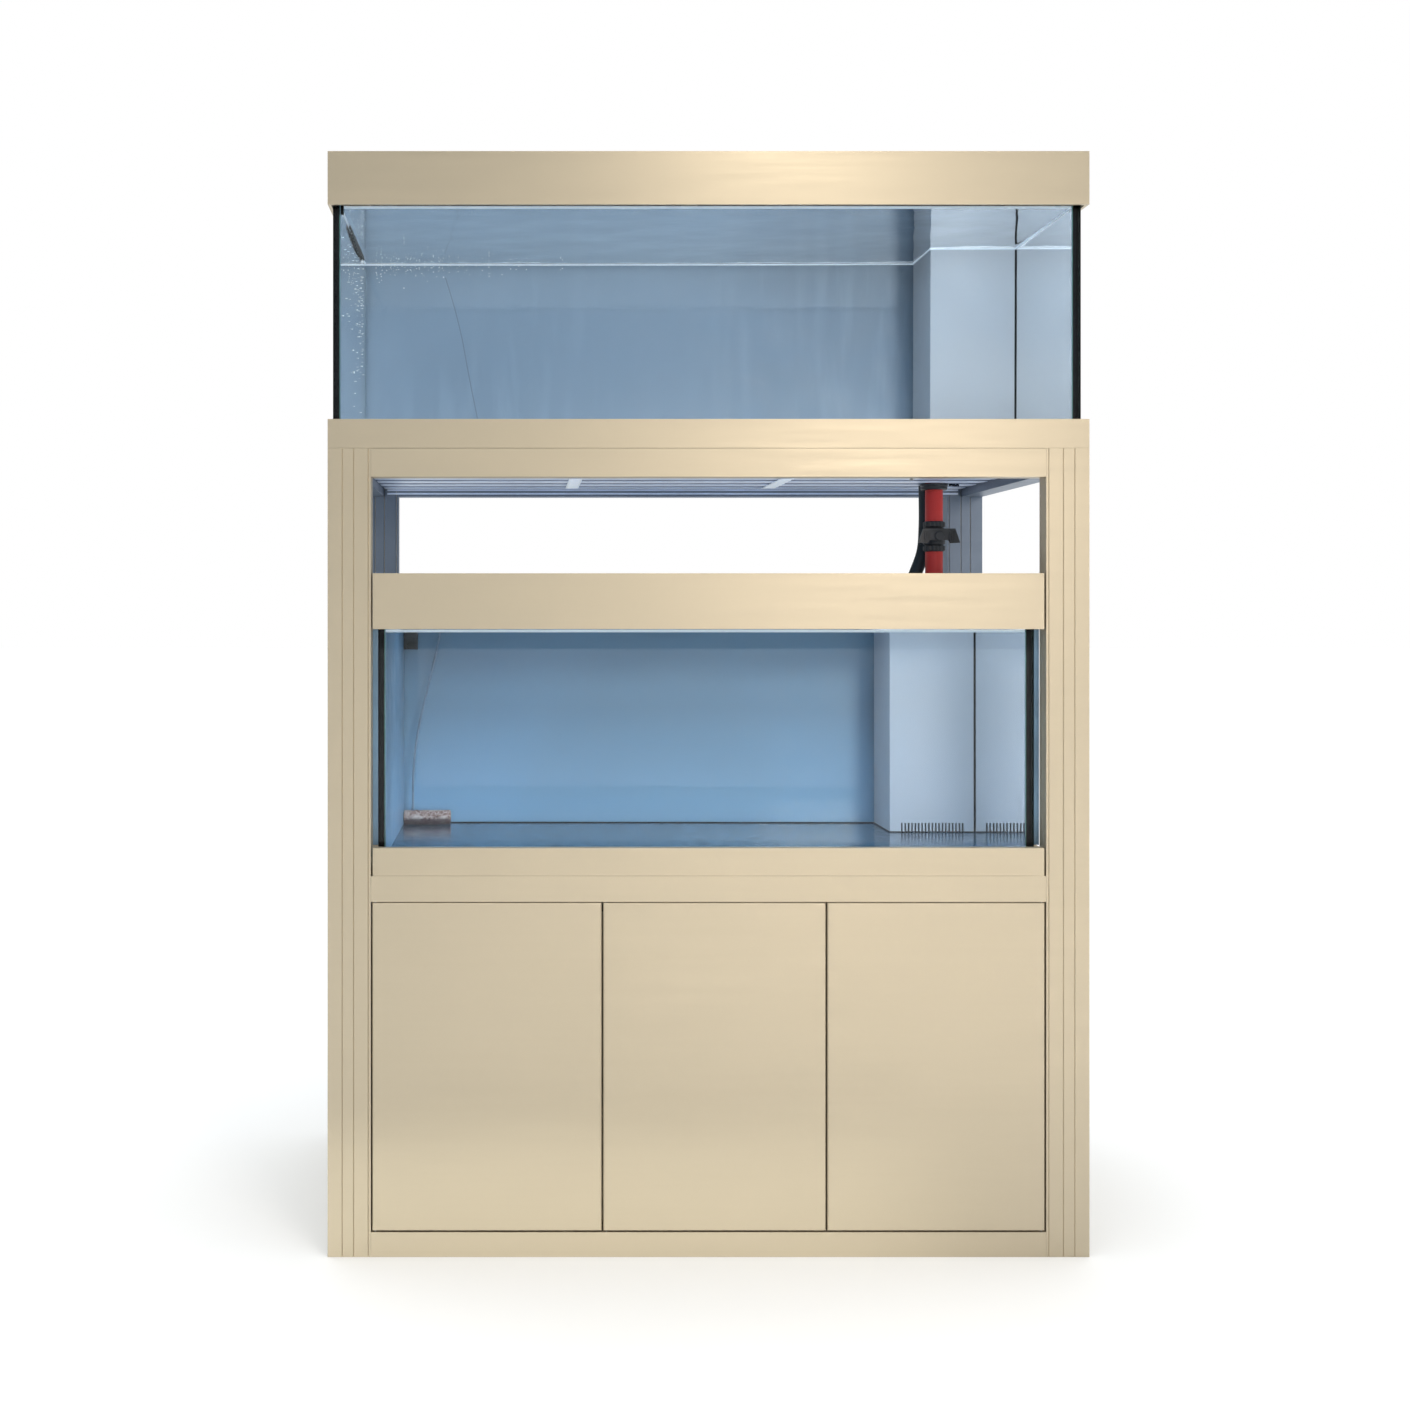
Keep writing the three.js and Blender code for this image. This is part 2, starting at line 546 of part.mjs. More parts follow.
function buildReturnLine() {
  const { y, upperX, lowerX, radius } = HOSE;
  add('return_hose', tubeAlong([
    [-20, 30, 152], [-20, 30, 190], [-20, 31, 240], [-12, 36, 310], [12, 48, 370], [60, 68, 425],
    [130, 92, 460], [210, 120, 474], [290, 144, 478], [350, 158, 484], [396, 166, 508], [421, y - 1, 548],
    [lowerX, y, 590], [lowerX, y, 630], [lowerX, y, 700], [lowerX, y, 800], [lowerX, y, 900],
    [lowerX, y, 990], [lowerX + 4, y, 1040], [448, y, 1085],
    [upperX - 4, y, 1130], [upperX, y, 1180], [upperX, y, 1240], [upperX, y, 1300], [upperX, y, 1400],
    [upperX, y, 1520], [upperX, y, 1640],
  ], radius, 76, 10), 'black_rubber');

  const pump = PUMP;
  const body = rodAlongX(pump.bodyRadius, pump.y, pump.bodyZ, pump.left, pump.right, 28);
  const foot = block(pump.footLeft, pump.footRight, pump.footFront, pump.footBack,
    pump.footBottom, pump.footTop);
  const volute = rod(pump.voluteRadius, pump.x, pump.y, pump.footTop, pump.voluteTop, 28);
  const outlet = rod(pump.outletRadius, pump.x, pump.y, pump.outletFoot, pump.outletTop);
  add('return_pump', join(body, foot, volute, outlet), 'black_plastic');
}

function buildSump() {
  const { left, right, front, back, bottom, top, wall } = SUMP;
  const stops = [left, ...SUMP_BAFFLES, right];
  const chambers = [];
  for (let i = 0; i < stops.length - 1; i += 1) {
    const x0 = stops[i] + (i === 0 ? wall : wall / 2);
    const x1 = stops[i + 1] - (i === stops.length - 2 ? wall : wall / 2);
    chambers.push(block(x0, x1, front + wall, back - wall, bottom + wall, top + 5));
  }
  const weir = block(left + wall, right - wall, front + wall, back - wall, SUMP_BAFFLE_TOP, top + 5);
  add('sump', cut(block(left, right, front, back, bottom, top), ...chambers, weir), 'glass');
}

// ---------- small fittings in the lower tank ----------
function buildFittings() {
  const floorTop = LOWER_TANK.floor + LOWER_TANK.base;
  const { left, right, y, radius } = STONE;
  const stone = rodAlongX(radius, y, floorTop + radius + GAP, left, right, 20);
  const barb = rod(BARB.radius, BARB.x, y, floorTop + BARB.from, floorTop + BARB.to, 12);
  add('air_stone', join(stone, barb), 'mineral');

  const top = LOWER_HOOD.top - HOOD_ROOF - GAP;
  add('air_line', tubeAlong([
    [BARB.x, y, floorTop + BARB.to + GAP], [BARB.x, y, 690],
    [-492, 243, 740], [-486, 247, 790], [-476, 250, 840],
    [-464, 252, 890], [-452, 252, 940], [-443, 250, 985], [-440, 246, 1020], [-440, 242, 1050],
    [-440, 242, top],
  ], AIR_LINE_RADIUS, 60, 8), 'clear_tube');

  const n = NOZZLE;
  const stem = block(n.left, n.right, n.front, n.back, n.bottom, n.top);
  const mouth = block(n.mouthLeft, n.mouthRight, n.mouthFront, n.mouthBack, n.bottom - 5, n.mouthTop);
  add('return_nozzle', cut(stem, mouth), 'black_plastic');
}

buildPosts();
buildTopRails();
buildCabinetRails();
buildUpperDeck();
buildLowerDeck();
buildCabinet();
buildDoors();
buildLatches();
buildTank('upper', UPPER_TANK);
buildTank('lower', LOWER_TANK);
buildOverflow('upper', UPPER_TANK);
buildOverflow('lower', LOWER_TANK);
buildTrims();
buildUpperHood();
buildLowerHood();
buildLamps();
buildDrain();
buildReturnLine();
buildSump();
buildFittings();

export default group;
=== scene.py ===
"""Looks of a two-tier aquarium on its cabinet stand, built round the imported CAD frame."""
import json
import math
import random

import bmesh
import bpy
from mathutils import Matrix, Vector, noise


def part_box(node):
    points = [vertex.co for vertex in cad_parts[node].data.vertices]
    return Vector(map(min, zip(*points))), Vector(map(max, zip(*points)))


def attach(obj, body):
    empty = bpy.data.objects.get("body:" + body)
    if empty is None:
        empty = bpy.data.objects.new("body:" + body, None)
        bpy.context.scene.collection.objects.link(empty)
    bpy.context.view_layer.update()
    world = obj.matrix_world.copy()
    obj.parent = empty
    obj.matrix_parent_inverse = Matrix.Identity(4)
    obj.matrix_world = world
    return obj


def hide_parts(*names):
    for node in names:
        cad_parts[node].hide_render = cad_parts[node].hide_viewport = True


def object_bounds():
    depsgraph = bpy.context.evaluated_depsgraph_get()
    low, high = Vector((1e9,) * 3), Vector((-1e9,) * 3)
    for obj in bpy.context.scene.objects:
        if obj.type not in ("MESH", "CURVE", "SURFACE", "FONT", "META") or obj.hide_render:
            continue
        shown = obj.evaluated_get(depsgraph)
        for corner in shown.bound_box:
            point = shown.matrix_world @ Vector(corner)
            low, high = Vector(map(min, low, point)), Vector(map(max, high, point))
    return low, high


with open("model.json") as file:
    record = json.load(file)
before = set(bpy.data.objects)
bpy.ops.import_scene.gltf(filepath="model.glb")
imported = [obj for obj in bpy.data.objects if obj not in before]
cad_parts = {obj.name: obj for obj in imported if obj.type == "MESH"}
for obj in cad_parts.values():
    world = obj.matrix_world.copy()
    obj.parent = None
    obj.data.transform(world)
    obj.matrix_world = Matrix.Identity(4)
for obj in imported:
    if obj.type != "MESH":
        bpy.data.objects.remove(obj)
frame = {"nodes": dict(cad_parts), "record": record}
cad_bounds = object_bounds()
NODES = frame["nodes"]
MM = 0.001
LOW = cad_bounds[0]
FRONT = LOW.y
STAND = "stand"


# ---------- node helpers ----------
def new_material(name):
    material = bpy.data.materials.new(name)
    material.use_nodes = True
    tree = material.node_tree
    tree.nodes.clear()
    output = tree.nodes.new("ShaderNodeOutputMaterial")
    shader = tree.nodes.new("ShaderNodeBsdfPrincipled")
    tree.links.new(shader.outputs["BSDF"], output.inputs["Surface"])
    return material, tree, shader, output


def object_coordinates(tree, scale=(1, 1, 1)):
    coordinates = tree.nodes.new("ShaderNodeTexCoord")
    mapping = tree.nodes.new("ShaderNodeMapping")
    mapping.inputs["Scale"].default_value = scale
    tree.links.new(coordinates.outputs["Object"], mapping.inputs["Vector"])
    return mapping.outputs["Vector"]


def noise_node(tree, scale, detail=4.0, roughness=0.5, stretch=(1, 1, 1), distortion=0.0):
    node = tree.nodes.new("ShaderNodeTexNoise")
    node.inputs["Scale"].default_value = scale
    node.inputs["Detail"].default_value = detail
    node.inputs["Roughness"].default_value = roughness
    node.inputs["Distortion"].default_value = distortion
    tree.links.new(object_coordinates(tree, stretch), node.inputs["Vector"])
    return node.outputs["Fac"]


def remap(tree, value, low, high, from_low=0.3, from_high=0.7):
    node = tree.nodes.new("ShaderNodeMapRange")
    node.inputs["From Min"].default_value = from_low
    node.inputs["From Max"].default_value = from_high
    node.inputs["To Min"].default_value = low
    node.inputs["To Max"].default_value = high
    tree.links.new(value, node.inputs["Value"])
    return node.outputs["Result"]


def colour_ramp(tree, value, stops):
    node = tree.nodes.new("ShaderNodeValToRGB")
    ramp = node.color_ramp
    while len(ramp.elements) < len(stops):
        ramp.elements.new(0.5)
    for element, (position, colour) in zip(ramp.elements, stops):
        element.position = position
        element.color = (*colour, 1)
    tree.links.new(value, node.inputs["Fac"])
    return node.outputs["Color"]


def mix_colours(tree, factor, first, second):
    node = tree.nodes.new("ShaderNodeMix")
    node.data_type = "RGBA"
    colours = [i for i in node.inputs if i.type == "RGBA"]
    for target, value in ((node.inputs["Factor"], factor), (colours[0], first), (colours[1], second)):
        if isinstance(value, bpy.types.NodeSocket):
            tree.links.new(value, target)
        elif isinstance(value, tuple):
            target.default_value = (*value, 1)
        else:
            target.default_value = value
    return [o for o in node.outputs if o.type == "RGBA"][0]


def bump(tree, shader, height, strength, distance):
    node = tree.nodes.new("ShaderNodeBump")
    node.inputs["Strength"].default_value = strength
    node.inputs["Distance"].default_value = distance
    tree.links.new(height, node.inputs["Height"])
    tree.links.new(node.outputs["Normal"], shader.inputs["Normal"])


def normal_along(tree, geometry, direction):
    node = tree.nodes.new("ShaderNodeVectorMath")
    node.operation = "DOT_PRODUCT"
    node.inputs[1].default_value = direction
    tree.links.new(geometry.outputs["Normal"], node.inputs[0])
    return node.outputs["Value"]


# ---------- camera ----------
CAMERA_X, CAMERA_DISTANCE, CAMERA_HEIGHT = -0.3016, 2.3, 1.0127
FRAME_WIDTH_AT_FRONT = 2.2208
SENSOR = 36
VIEW_SHIFT = (0.1333, -0.0645)


def build_camera():
    """Looks straight at the front, from left of the middle, at about the height of the lower hood."""
    data = bpy.data.cameras.new("camera")
    camera = bpy.data.objects.new("camera", data)
    bpy.context.scene.collection.objects.link(camera)
    camera.location = (CAMERA_X, FRONT - CAMERA_DISTANCE, CAMERA_HEIGHT)
    camera.rotation_euler = (math.radians(90), 0, 0)
    data.sensor_width = SENSOR
    data.lens = SENSOR * CAMERA_DISTANCE / FRAME_WIDTH_AT_FRONT
    data.shift_x, data.shift_y = VIEW_SHIFT
    data.clip_end = 200
    bpy.context.scene.camera = camera
    bpy.context.scene.view_settings.view_transform = "Standard"


# ---------- materials ----------
GLASS_IOR = 1.26  # below real glass, about 1.5, so the panes mirror less
WATER_IOR = 1.33


def champagne_metal(name="champagne_metal", blue_shade_facing=None):
    """Satin powder coat on aluminium: fine metallic speck, faint rolling direction, handling marks.

    Faces that look along the given direction get a painted blue-grey shade, standing in for the cool shade inside the
    frame."""
    material, tree, shader, _ = new_material(name)
    mottle = noise_node(tree, 2.5, 3, 0.5)
    base = colour_ramp(tree, mottle, [(0.3, (0.515, 0.445, 0.328)), (0.7, (0.533, 0.459, 0.339))])
    speck = noise_node(tree, 1400.0, 1, 0.5)
    flecked = mix_colours(tree, remap(tree, speck, 0.0, 0.30, 0.55, 0.75), base, (0.61, 0.54, 0.42))
    marks = noise_node(tree, 16.0, 8, 0.75, (0.35, 1, 1.6), 0.6)
    surface = mix_colours(tree, remap(tree, marks, 0.0, 0.10, 0.60, 0.78), flecked, (0.40, 0.35, 0.27))
    # Painted shade: a blue-grey tone on the faces that look into the frame.
    if blue_shade_facing:
        geometry = tree.nodes.new("ShaderNodeNewGeometry")
        facing = normal_along(tree, geometry, blue_shade_facing)
        blue_shade = colour_ramp(tree, noise_node(tree, 9.0, 4, 0.6, (0.5, 1, 0.3)),
                           [(0.3, (0.140, 0.178, 0.238)), (0.7, (0.178, 0.220, 0.285))])
        surface = mix_colours(tree, remap(tree, facing, 0.0, 1.0, 0.4, 0.6), surface, blue_shade)
    tree.links.new(surface, shader.inputs["Base Color"])
    brushed = noise_node(tree, 45.0, 4, 0.65, (0.10, 1, 2.4))
    tree.links.new(remap(tree, brushed, 0.39, 0.46), shader.inputs["Roughness"])
    shader.inputs["Metallic"].default_value = 0.6
    peel = noise_node(tree, 650.0, 2, 0.5)
    bump(tree, shader, peel, 0.08, 0.0004)
    return material


def moulded(name, colour, roughness, grain=350.0, strength=0.15, accent=0.25, metallic=0.0, spread=14.0):
    """A solid-coloured finish with a drift of tone, uneven gloss and a fine surface grain."""
    material, tree, shader, _ = new_material(name)
    lighter = tuple(min(1.0, c * (1 + accent) + 0.003) for c in colour)
    tree.links.new(colour_ramp(tree, noise_node(tree, spread, 5, 0.6), [(0.3, colour), (0.75, lighter)]),
                   shader.inputs["Base Color"])
    tree.links.new(remap(tree, noise_node(tree, 40.0, 4), max(0.02, roughness - 0.06), roughness + 0.08),
                   shader.inputs["Roughness"])
    shader.inputs["Metallic"].default_value = metallic
    bump(tree, shader, noise_node(tree, grain, 2), strength, 0.0005)
    return material


def pane_glass(name, axis, edge=((0.05, 0.17, 0.16), (0.10, 0.27, 0.25))):
    """Clear float glass whose broad faces look along one axis. The narrow ground edges show sea green."""
    material, tree, shader, output = new_material(name)
    tree.links.new(colour_ramp(tree, noise_node(tree, 40.0, 4),
                               [(0.3, edge[0]), (0.7, edge[1])]),
                   shader.inputs["Base Color"])
    shader.inputs["Roughness"].default_value = 0.25
    clear = tree.nodes.new("ShaderNodeBsdfTransparent")
    clear.inputs["Color"].default_value = (0.985, 0.995, 0.995, 1)
    gloss = tree.nodes.new("ShaderNodeBsdfGlossy")
    tree.links.new(remap(tree, noise_node(tree, 9.0, 5, 0.6), 0.0, 0.03), gloss.inputs["Roughness"])
    fresnel = tree.nodes.new("ShaderNodeFresnel")
    geometry = tree.nodes.new("ShaderNodeNewGeometry")
    either_side = remap(tree, geometry.outputs["Backfacing"], GLASS_IOR, 1 / GLASS_IOR, 0.0, 1.0)
    tree.links.new(either_side, fresnel.inputs["IOR"])
    sheet = tree.nodes.new("ShaderNodeMixShader")
    tree.links.new(fresnel.outputs["Fac"], sheet.inputs["Fac"])
    tree.links.new(clear.outputs["BSDF"], sheet.inputs[1])
    tree.links.new(gloss.outputs["BSDF"], sheet.inputs[2])
    size = tree.nodes.new("ShaderNodeMath")
    size.operation = "ABSOLUTE"
    tree.links.new(normal_along(tree, geometry, axis), size.inputs[0])
    broad = tree.nodes.new("ShaderNodeMath")
    broad.operation = "GREATER_THAN"
    broad.inputs[1].default_value = 0.5
    tree.links.new(size.outputs[0], broad.inputs[0])
    both = tree.nodes.new("ShaderNodeMixShader")
    tree.links.new(broad.outputs[0], both.inputs["Fac"])
    tree.links.new(shader.outputs["BSDF"], both.inputs[1])
    tree.links.new(sheet.outputs["Shader"], both.inputs[2])
    tree.links.new(both.outputs["Shader"], output.inputs["Surface"])
    return material


def water_material(name, ripple):
    material, tree, shader, _ = new_material(name)
    shader.inputs["Base Color"].default_value = (0.93, 0.975, 1.0, 1)
    shader.inputs["Roughness"].default_value = 0.0
    shader.inputs["IOR"].default_value = WATER_IOR
    shader.inputs["Transmission Weight"].default_value = 1.0
    bump(tree, shader, noise_node(tree, 16.0, 4, 0.55), ripple, 0.003)
    return material


def film(name, dark, light, streak, foot_light_between):
    """Backing film stuck to the glass: cloudy tone, upright paler streaks and, when asked for, painted light at the
    foot that pales it downward.
    """
    material, tree, shader, _ = new_material(name)
    wash = noise_node(tree, 1.8, 5, 0.55, (1, 1, 1.6))
    tone = colour_ramp(tree, wash, [(0.3, dark), (0.7, light)])
    streaks = noise_node(tree, 16.0, 4, 0.55, (2.2, 1, 0.30), 0.5)
    patch = noise_node(tree, 1.6, 2, 0.5)
    amount = tree.nodes.new("ShaderNodeMath")
    amount.operation = "MULTIPLY"
    tree.links.new(remap(tree, streaks, 0.0, streak, 0.45, 0.66), amount.inputs[0])
    tree.links.new(remap(tree, patch, 0.15, 1.0, 0.38, 0.55), amount.inputs[1])
    paler = tuple(min(1.0, c * 1.2 + 0.03) for c in light)
    streaked = mix_colours(tree, amount.outputs[0], tone, paler)
    # Painted light: paler toward the foot, as if more light fell there.
    if foot_light_between:
        split = tree.nodes.new("ShaderNodeSeparateXYZ")
        tree.links.new(object_coordinates(tree), split.inputs[0])
        foot = remap(tree, split.outputs["Z"], 0.0, 0.85, *foot_light_between)
        streaked = mix_colours(tree, foot, streaked, tuple(min(1.0, c * 1.85 + 0.04) for c in light))
    tree.links.new(streaked, shader.inputs["Base Color"])
    tree.links.new(remap(tree, noise_node(tree, 25.0, 3), 0.35, 0.5), shader.inputs["Roughness"])
    bump(tree, shader, streaks, 0.15, 0.001)
    return material


def sheen_and_glow(name, colour, glow):
    """A silvery finish with an emitted glow: the lamp diffuser's own light, and for trapped air and the water's edge
    line a painted highlight and glow.
    """
    material, tree, shader, _ = new_material(name)
    tree.links.new(colour_ramp(tree, noise_node(tree, 60.0, 3),
                               [(0.3, colour), (0.7, tuple(min(1.0, c * 1.08) for c in colour))]),
                   shader.inputs["Base Color"])
    shader.inputs["Roughness"].default_value = 0.12
    shader.inputs["Emission Color"].default_value = (0.80, 0.90, 1.0, 1)
    shader.inputs["Emission Strength"].default_value = glow
    return material


def glowing_strap():
    material, tree, shader, _ = new_material("pale_strap")
    ribs = noise_node(tree, 150.0, 3, 0.5, (3, 0.4, 1))
    tree.links.new(colour_ramp(tree, ribs, [(0.3, (0.72, 0.82, 0.93)), (0.7, (0.86, 0.93, 1.0))]),
                   shader.inputs["Base Color"])
    shader.inputs["Roughness"].default_value = 0.35
    # Painted light: a faint glow stands in for the light falling on the straps under the deck.
    shader.inputs["Emission Color"].default_value = (0.75, 0.87, 1.0, 1)
    shader.inputs["Emission Strength"].default_value = 0.08
    bump(tree, shader, ribs, 0.4, 0.0006)
    return material


def mineral():
    """Cast grit: pale and brown crumbs, with painted shade darkening the faces that look downward."""
    material, tree, shader, _ = new_material("mineral")
    grains = noise_node(tree, 210.0, 6, 0.75)
    tone = colour_ramp(tree, grains, [(0.34, (0.10, 0.055, 0.05)), (0.48, (0.42, 0.28, 0.25)),
                                      (0.58, (0.62, 0.50, 0.46)), (0.68, (0.90, 0.82, 0.78))])
    patches = noise_node(tree, 38.0, 4, 0.6)
    blotched = mix_colours(tree, remap(tree, patches, 0.0, 0.7, 0.52, 0.66), tone, (0.82, 0.76, 0.74))
    # Painted shade: faces that look downward turn dark.
    geometry = tree.nodes.new("ShaderNodeNewGeometry")
    split = tree.nodes.new("ShaderNodeSeparateXYZ")
    tree.links.new(geometry.outputs["Normal"], split.inputs[0])
    tree.links.new(mix_colours(tree, remap(tree, split.outputs["Z"], 0.85, 0.0, -0.25, 0.15), blotched,
                               (0.055, 0.030, 0.042)), shader.inputs["Base Color"])
    shader.inputs["Roughness"].default_value = 0.92
    bump(tree, shader, grains, 0.9, 0.0015)
    return material


def steel():
    material, tree, shader, _ = new_material("steel")
    turned = noise_node(tree, 90.0, 3, 0.6, (1, 1, 0.08))
    tree.links.new(colour_ramp(tree, turned, [(0.3, (0.52, 0.52, 0.53)), (0.7, (0.68, 0.68, 0.69))]),
                   shader.inputs["Base Color"])
    shader.inputs["Metallic"].default_value = 1.0
    tree.links.new(remap(tree, turned, 0.22, 0.36), shader.inputs["Roughness"])
    bump(tree, shader, turned, 0.1, 0.0003)
    return material


def plywood():
    material, tree, shader, _ = new_material("board")
    grain = noise_node(tree, 28.0, 6, 0.6, (0.12, 1.6, 1), 0.4)
    tree.links.new(colour_ramp(tree, grain, [(0.3, (0.26, 0.20, 0.13)), (0.7, (0.42, 0.34, 0.23))]),
                   shader.inputs["Base Color"])
    shader.inputs["Roughness"].default_value = 0.6
    bump(tree, shader, grain, 0.3, 0.0008)
    return material


MATERIALS = {
    "champagne_metal": champagne_metal(),
    # Painted shade: the deck is navy, the colour its underside shows in shade; the ribs under it are pale with painted
    # light.
    "deck_aluminium": moulded("deck_aluminium", (0.14, 0.19, 0.31), 0.42, 500.0, 0.1, 0.12, 0.2),
    "board": plywood(),
    "steel": steel(),
    "tank_glass": pane_glass("tank_glass", (0, 1, 0), ((0.006, 0.016, 0.016), (0.012, 0.028, 0.027))),
    # Painted shade: the white acrylic parts are given a darker blue-grey, the way they look in shade and blue light
    # inside the tank.
    "white_acrylic": moulded("white_acrylic", (0.43, 0.50, 0.59), 0.5, 400.0, 0.02, 0.04, 0, 5.0),
    "lid": moulded("lid", (0.035, 0.037, 0.042), 0.22, 300.0, 0.04),
    "lamp": moulded("lamp", (0.66, 0.67, 0.69), 0.35, 300.0, 0.05, 0.1, 0.8),
    "red_pvc": moulded("red_pvc", (0.47, 0.020, 0.016), 0.5, 260.0, 0.08),
    "black_plastic": moulded("black_plastic", (0.016, 0.018, 0.021), 0.42, 400.0, 0.2),
    "black_rubber": moulded("black_rubber", (0.010, 0.018, 0.023), 0.6, 300.0, 0.25),
    "mineral": mineral(),
    "clear_tube": moulded("clear_tube", (0.16, 0.24, 0.34), 0.25, 300.0, 0.05),
}
SIDE_GLASS = pane_glass("side_glass", (1, 0, 0))
BASE_GLASS = pane_glass("base_glass", (0, 0, 1))
WATER = water_material("water", 0.0)
WATER_TOP = water_material("water_top", 0.25)
FILMS = {
    "upper": film("upper_film", (0.212, 0.312, 0.460), (0.228, 0.328, 0.478), 0.40, None),
    "lower": film("lower_film", (0.124, 0.258, 0.410), (0.136, 0.272, 0.430), 0.10, (0.84, 0.66)),
}
SILICONE = moulded("black_silicone", (0.003, 0.004, 0.006), 0.45, 90.0, 0.2)
CLEAR_BEAD = moulded("clear_silicone", (0.11, 0.19, 0.27), 0.45, 90.0, 0.2)
SILICONE.node_tree.nodes["Principled BSDF"].inputs["Specular IOR Level"].default_value = 0.08
SPACER = moulded("side_spacer", (0.13, 0.22, 0.32), 0.4, 200.0, 0.1, 0.5)
# Painted shade: a black sheet behind the overflow comb's slots.
COMB_SHADE = moulded("comb_shade_black", (0.006, 0.007, 0.008), 0.95, 700.0, 0.8)
NAVY = moulded("navy_floor_film", (0.022, 0.058, 0.100), 0.16, 200.0, 0.004)
# Painted highlight: the water's edge line and the bubbles get a pale silvery colour and a faint glow for the light they
# reflect.
BRIGHT_EDGE = sheen_and_glow("water_edge", (0.72, 0.82, 0.93), 0.20)
BUBBLE = sheen_and_glow("bubble", (0.78, 0.86, 0.92), 0.12)
STRAP = glowing_strap()
# Painted shade: the dark line of a crease in the film.
CREASE_SHADE = moulded("film_crease_shade", (0.09, 0.13, 0.19), 0.5, 200.0, 0.1)
# Painted light: the ribs are pale as if lit, against the deck's painted shade.
LIT_RIB = moulded("deck_rib", (0.60, 0.69, 0.84), 0.36, 500.0, 0.1, 0.10, 0.1)
DIFFUSER = sheen_and_glow("lamp_diffuser", (0.9, 0.95, 1.0), 2.0)
CERAMIC = moulded("ceramic", (0.70, 0.66, 0.58), 0.85, 400.0, 0.5, 0.2, 0, 120.0)


# ---------- mesh helpers ----------
def make_piece(name, bm, material, smooth=False, body=STAND):
    """An object of the bmesh's faces that rides a body. Pieces of a CAD material name its slot."""
    mesh = mesh_of(bm, name)
    piece = bpy.data.objects.new(name, mesh)
    bpy.context.scene.collection.objects.link(piece)
    if material:
        mesh.materials.clear()
        mesh.materials.append(material)
    for polygon in mesh.polygons:
        polygon.use_smooth = smooth
    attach(piece, body)
    return piece


def mesh_of(bm, name):
    mesh = bpy.data.meshes.new(name)
    bmesh.ops.recalc_face_normals(bm, faces=bm.faces)
    bm.to_mesh(mesh)
    bm.free()
    return mesh


def add_block(bm, low, high, bevel=0.0):
    """A block with softened edges."""
    size = Vector(high) - Vector(low)
    middle = (Vector(high) + Vector(low)) / 2
    place = Matrix.Translation(middle) @ Matrix.Diagonal((*size, 1))
    made = bmesh.ops.create_cube(bm, size=1.0, matrix=place)
    if bevel:
        edges = list({e for v in made["verts"] for e in v.link_edges})
        bmesh.ops.bevel(bm, geom=edges, offset=bevel, segments=2, affect="EDGES", profile=0.6)


def thicken(bm, offset):
    """Closes an open sheet into a thin plate by repeating it at an offset."""
    made = bmesh.ops.extrude_face_region(bm, geom=bm.faces[:])
    bmesh.ops.translate(bm, vec=offset, verts=[v for v in made["geom"] if isinstance(v, bmesh.types.BMVert)])


def join_rings(bm, rings):
    """Faces between each ring of vertices and the next."""
    for lower, upper in zip(rings, rings[1:]):
        for i in range(len(lower)):
            j = (i + 1) % len(lower)
            bm.faces.new((lower[i], lower[j], upper[j], upper[i]))


def add_turned(bm, profile, axis_point, axis="Z", sides=32):
    """A shape turned from (radius, height) points, open or closed on itself, round an upright or level axis."""
    rings = []
    for radius, height in profile:
        ring = []
        for i in range(sides):
            turn = 2 * math.pi * i / sides
            u, v = radius * math.cos(turn), radius * math.sin(turn)
            offset = {"Z": (u, v, height), "Y": (u, height, v), "X": (height, u, v)}[axis]
            ring.append(bm.verts.new(Vector(axis_point) + Vector(offset)))
        rings.append(ring)
    join_rings(bm, rings)
    return rings


def cap(bm, ring):
    bm.faces.new(ring)


def smooth_route(points, per_span):
    """Centripetal Catmull-Rom curve through the points, the same curve that the CAD tubes follow."""
    points = [Vector(p) for p in points]
    ends = [points[0] * 2 - points[1], *points, points[-1] * 2 - points[-2]]
    route = []
    for i in range(1, len(ends) - 2):
        p0, p1, p2, p3 = ends[i - 1:i + 3]
        t = [0.0]
        for a, b in ((p0, p1), (p1, p2), (p2, p3)):
            t.append(t[-1] + max(1e-6, (b - a).length) ** 0.5)
        for k in range(per_span):
            x = t[1] + (t[2] - t[1]) * k / per_span
            a1 = p0.lerp(p1, (x - t[0]) / (t[1] - t[0]))
            a2 = p1.lerp(p2, (x - t[1]) / (t[2] - t[1]))
            a3 = p2.lerp(p3, (x - t[2]) / (t[3] - t[2]))
            b1 = a1.lerp(a2, (x - t[0]) / (t[2] - t[0]))
            b2 = a2.lerp(a3, (x - t[1]) / (t[3] - t[1]))
            route.append(b1.lerp(b2, (x - t[1]) / (t[2] - t[1])))
    route.append(points[-1])
    return route


def add_tube(bm, route, radius, sides=20):
    """A round tube along a route, with its section carried along without twist."""
    side = Vector((1, 0, 0))
    rings = []
    for i, point in enumerate(route):
        ahead = route[min(i + 1, len(route) - 1)] - route[max(i - 1, 0)]
        along = ahead.normalized()
        side = (side - along * side.dot(along)).normalized()
        up = along.cross(side)
        rings.append([bm.verts.new(point + (side * math.cos(a) + up * math.sin(a)) * radius)
                      for a in (2 * math.pi * k / sides for k in range(sides))])
    join_rings(bm, rings)
    cap(bm, rings[0])
    cap(bm, rings[-1])


# ---------- the air line, a free cord ----------
def mm(points):
    return [tuple(c * MM for c in p) for p in points]


AIR_LINE_POINTS = mm([
    (-440, 242, 1071.7), (-440, 242, 1050), (-440, 246, 1020), (-443, 250, 985), (-452, 252, 940),
    (-464, 252, 890), (-476, 250, 840), (-486, 247, 790), (-492, 243, 740), (-494, 240, 690), (-494, 240, 661)])
AIR_LINE_RADIUS = 2 * MM


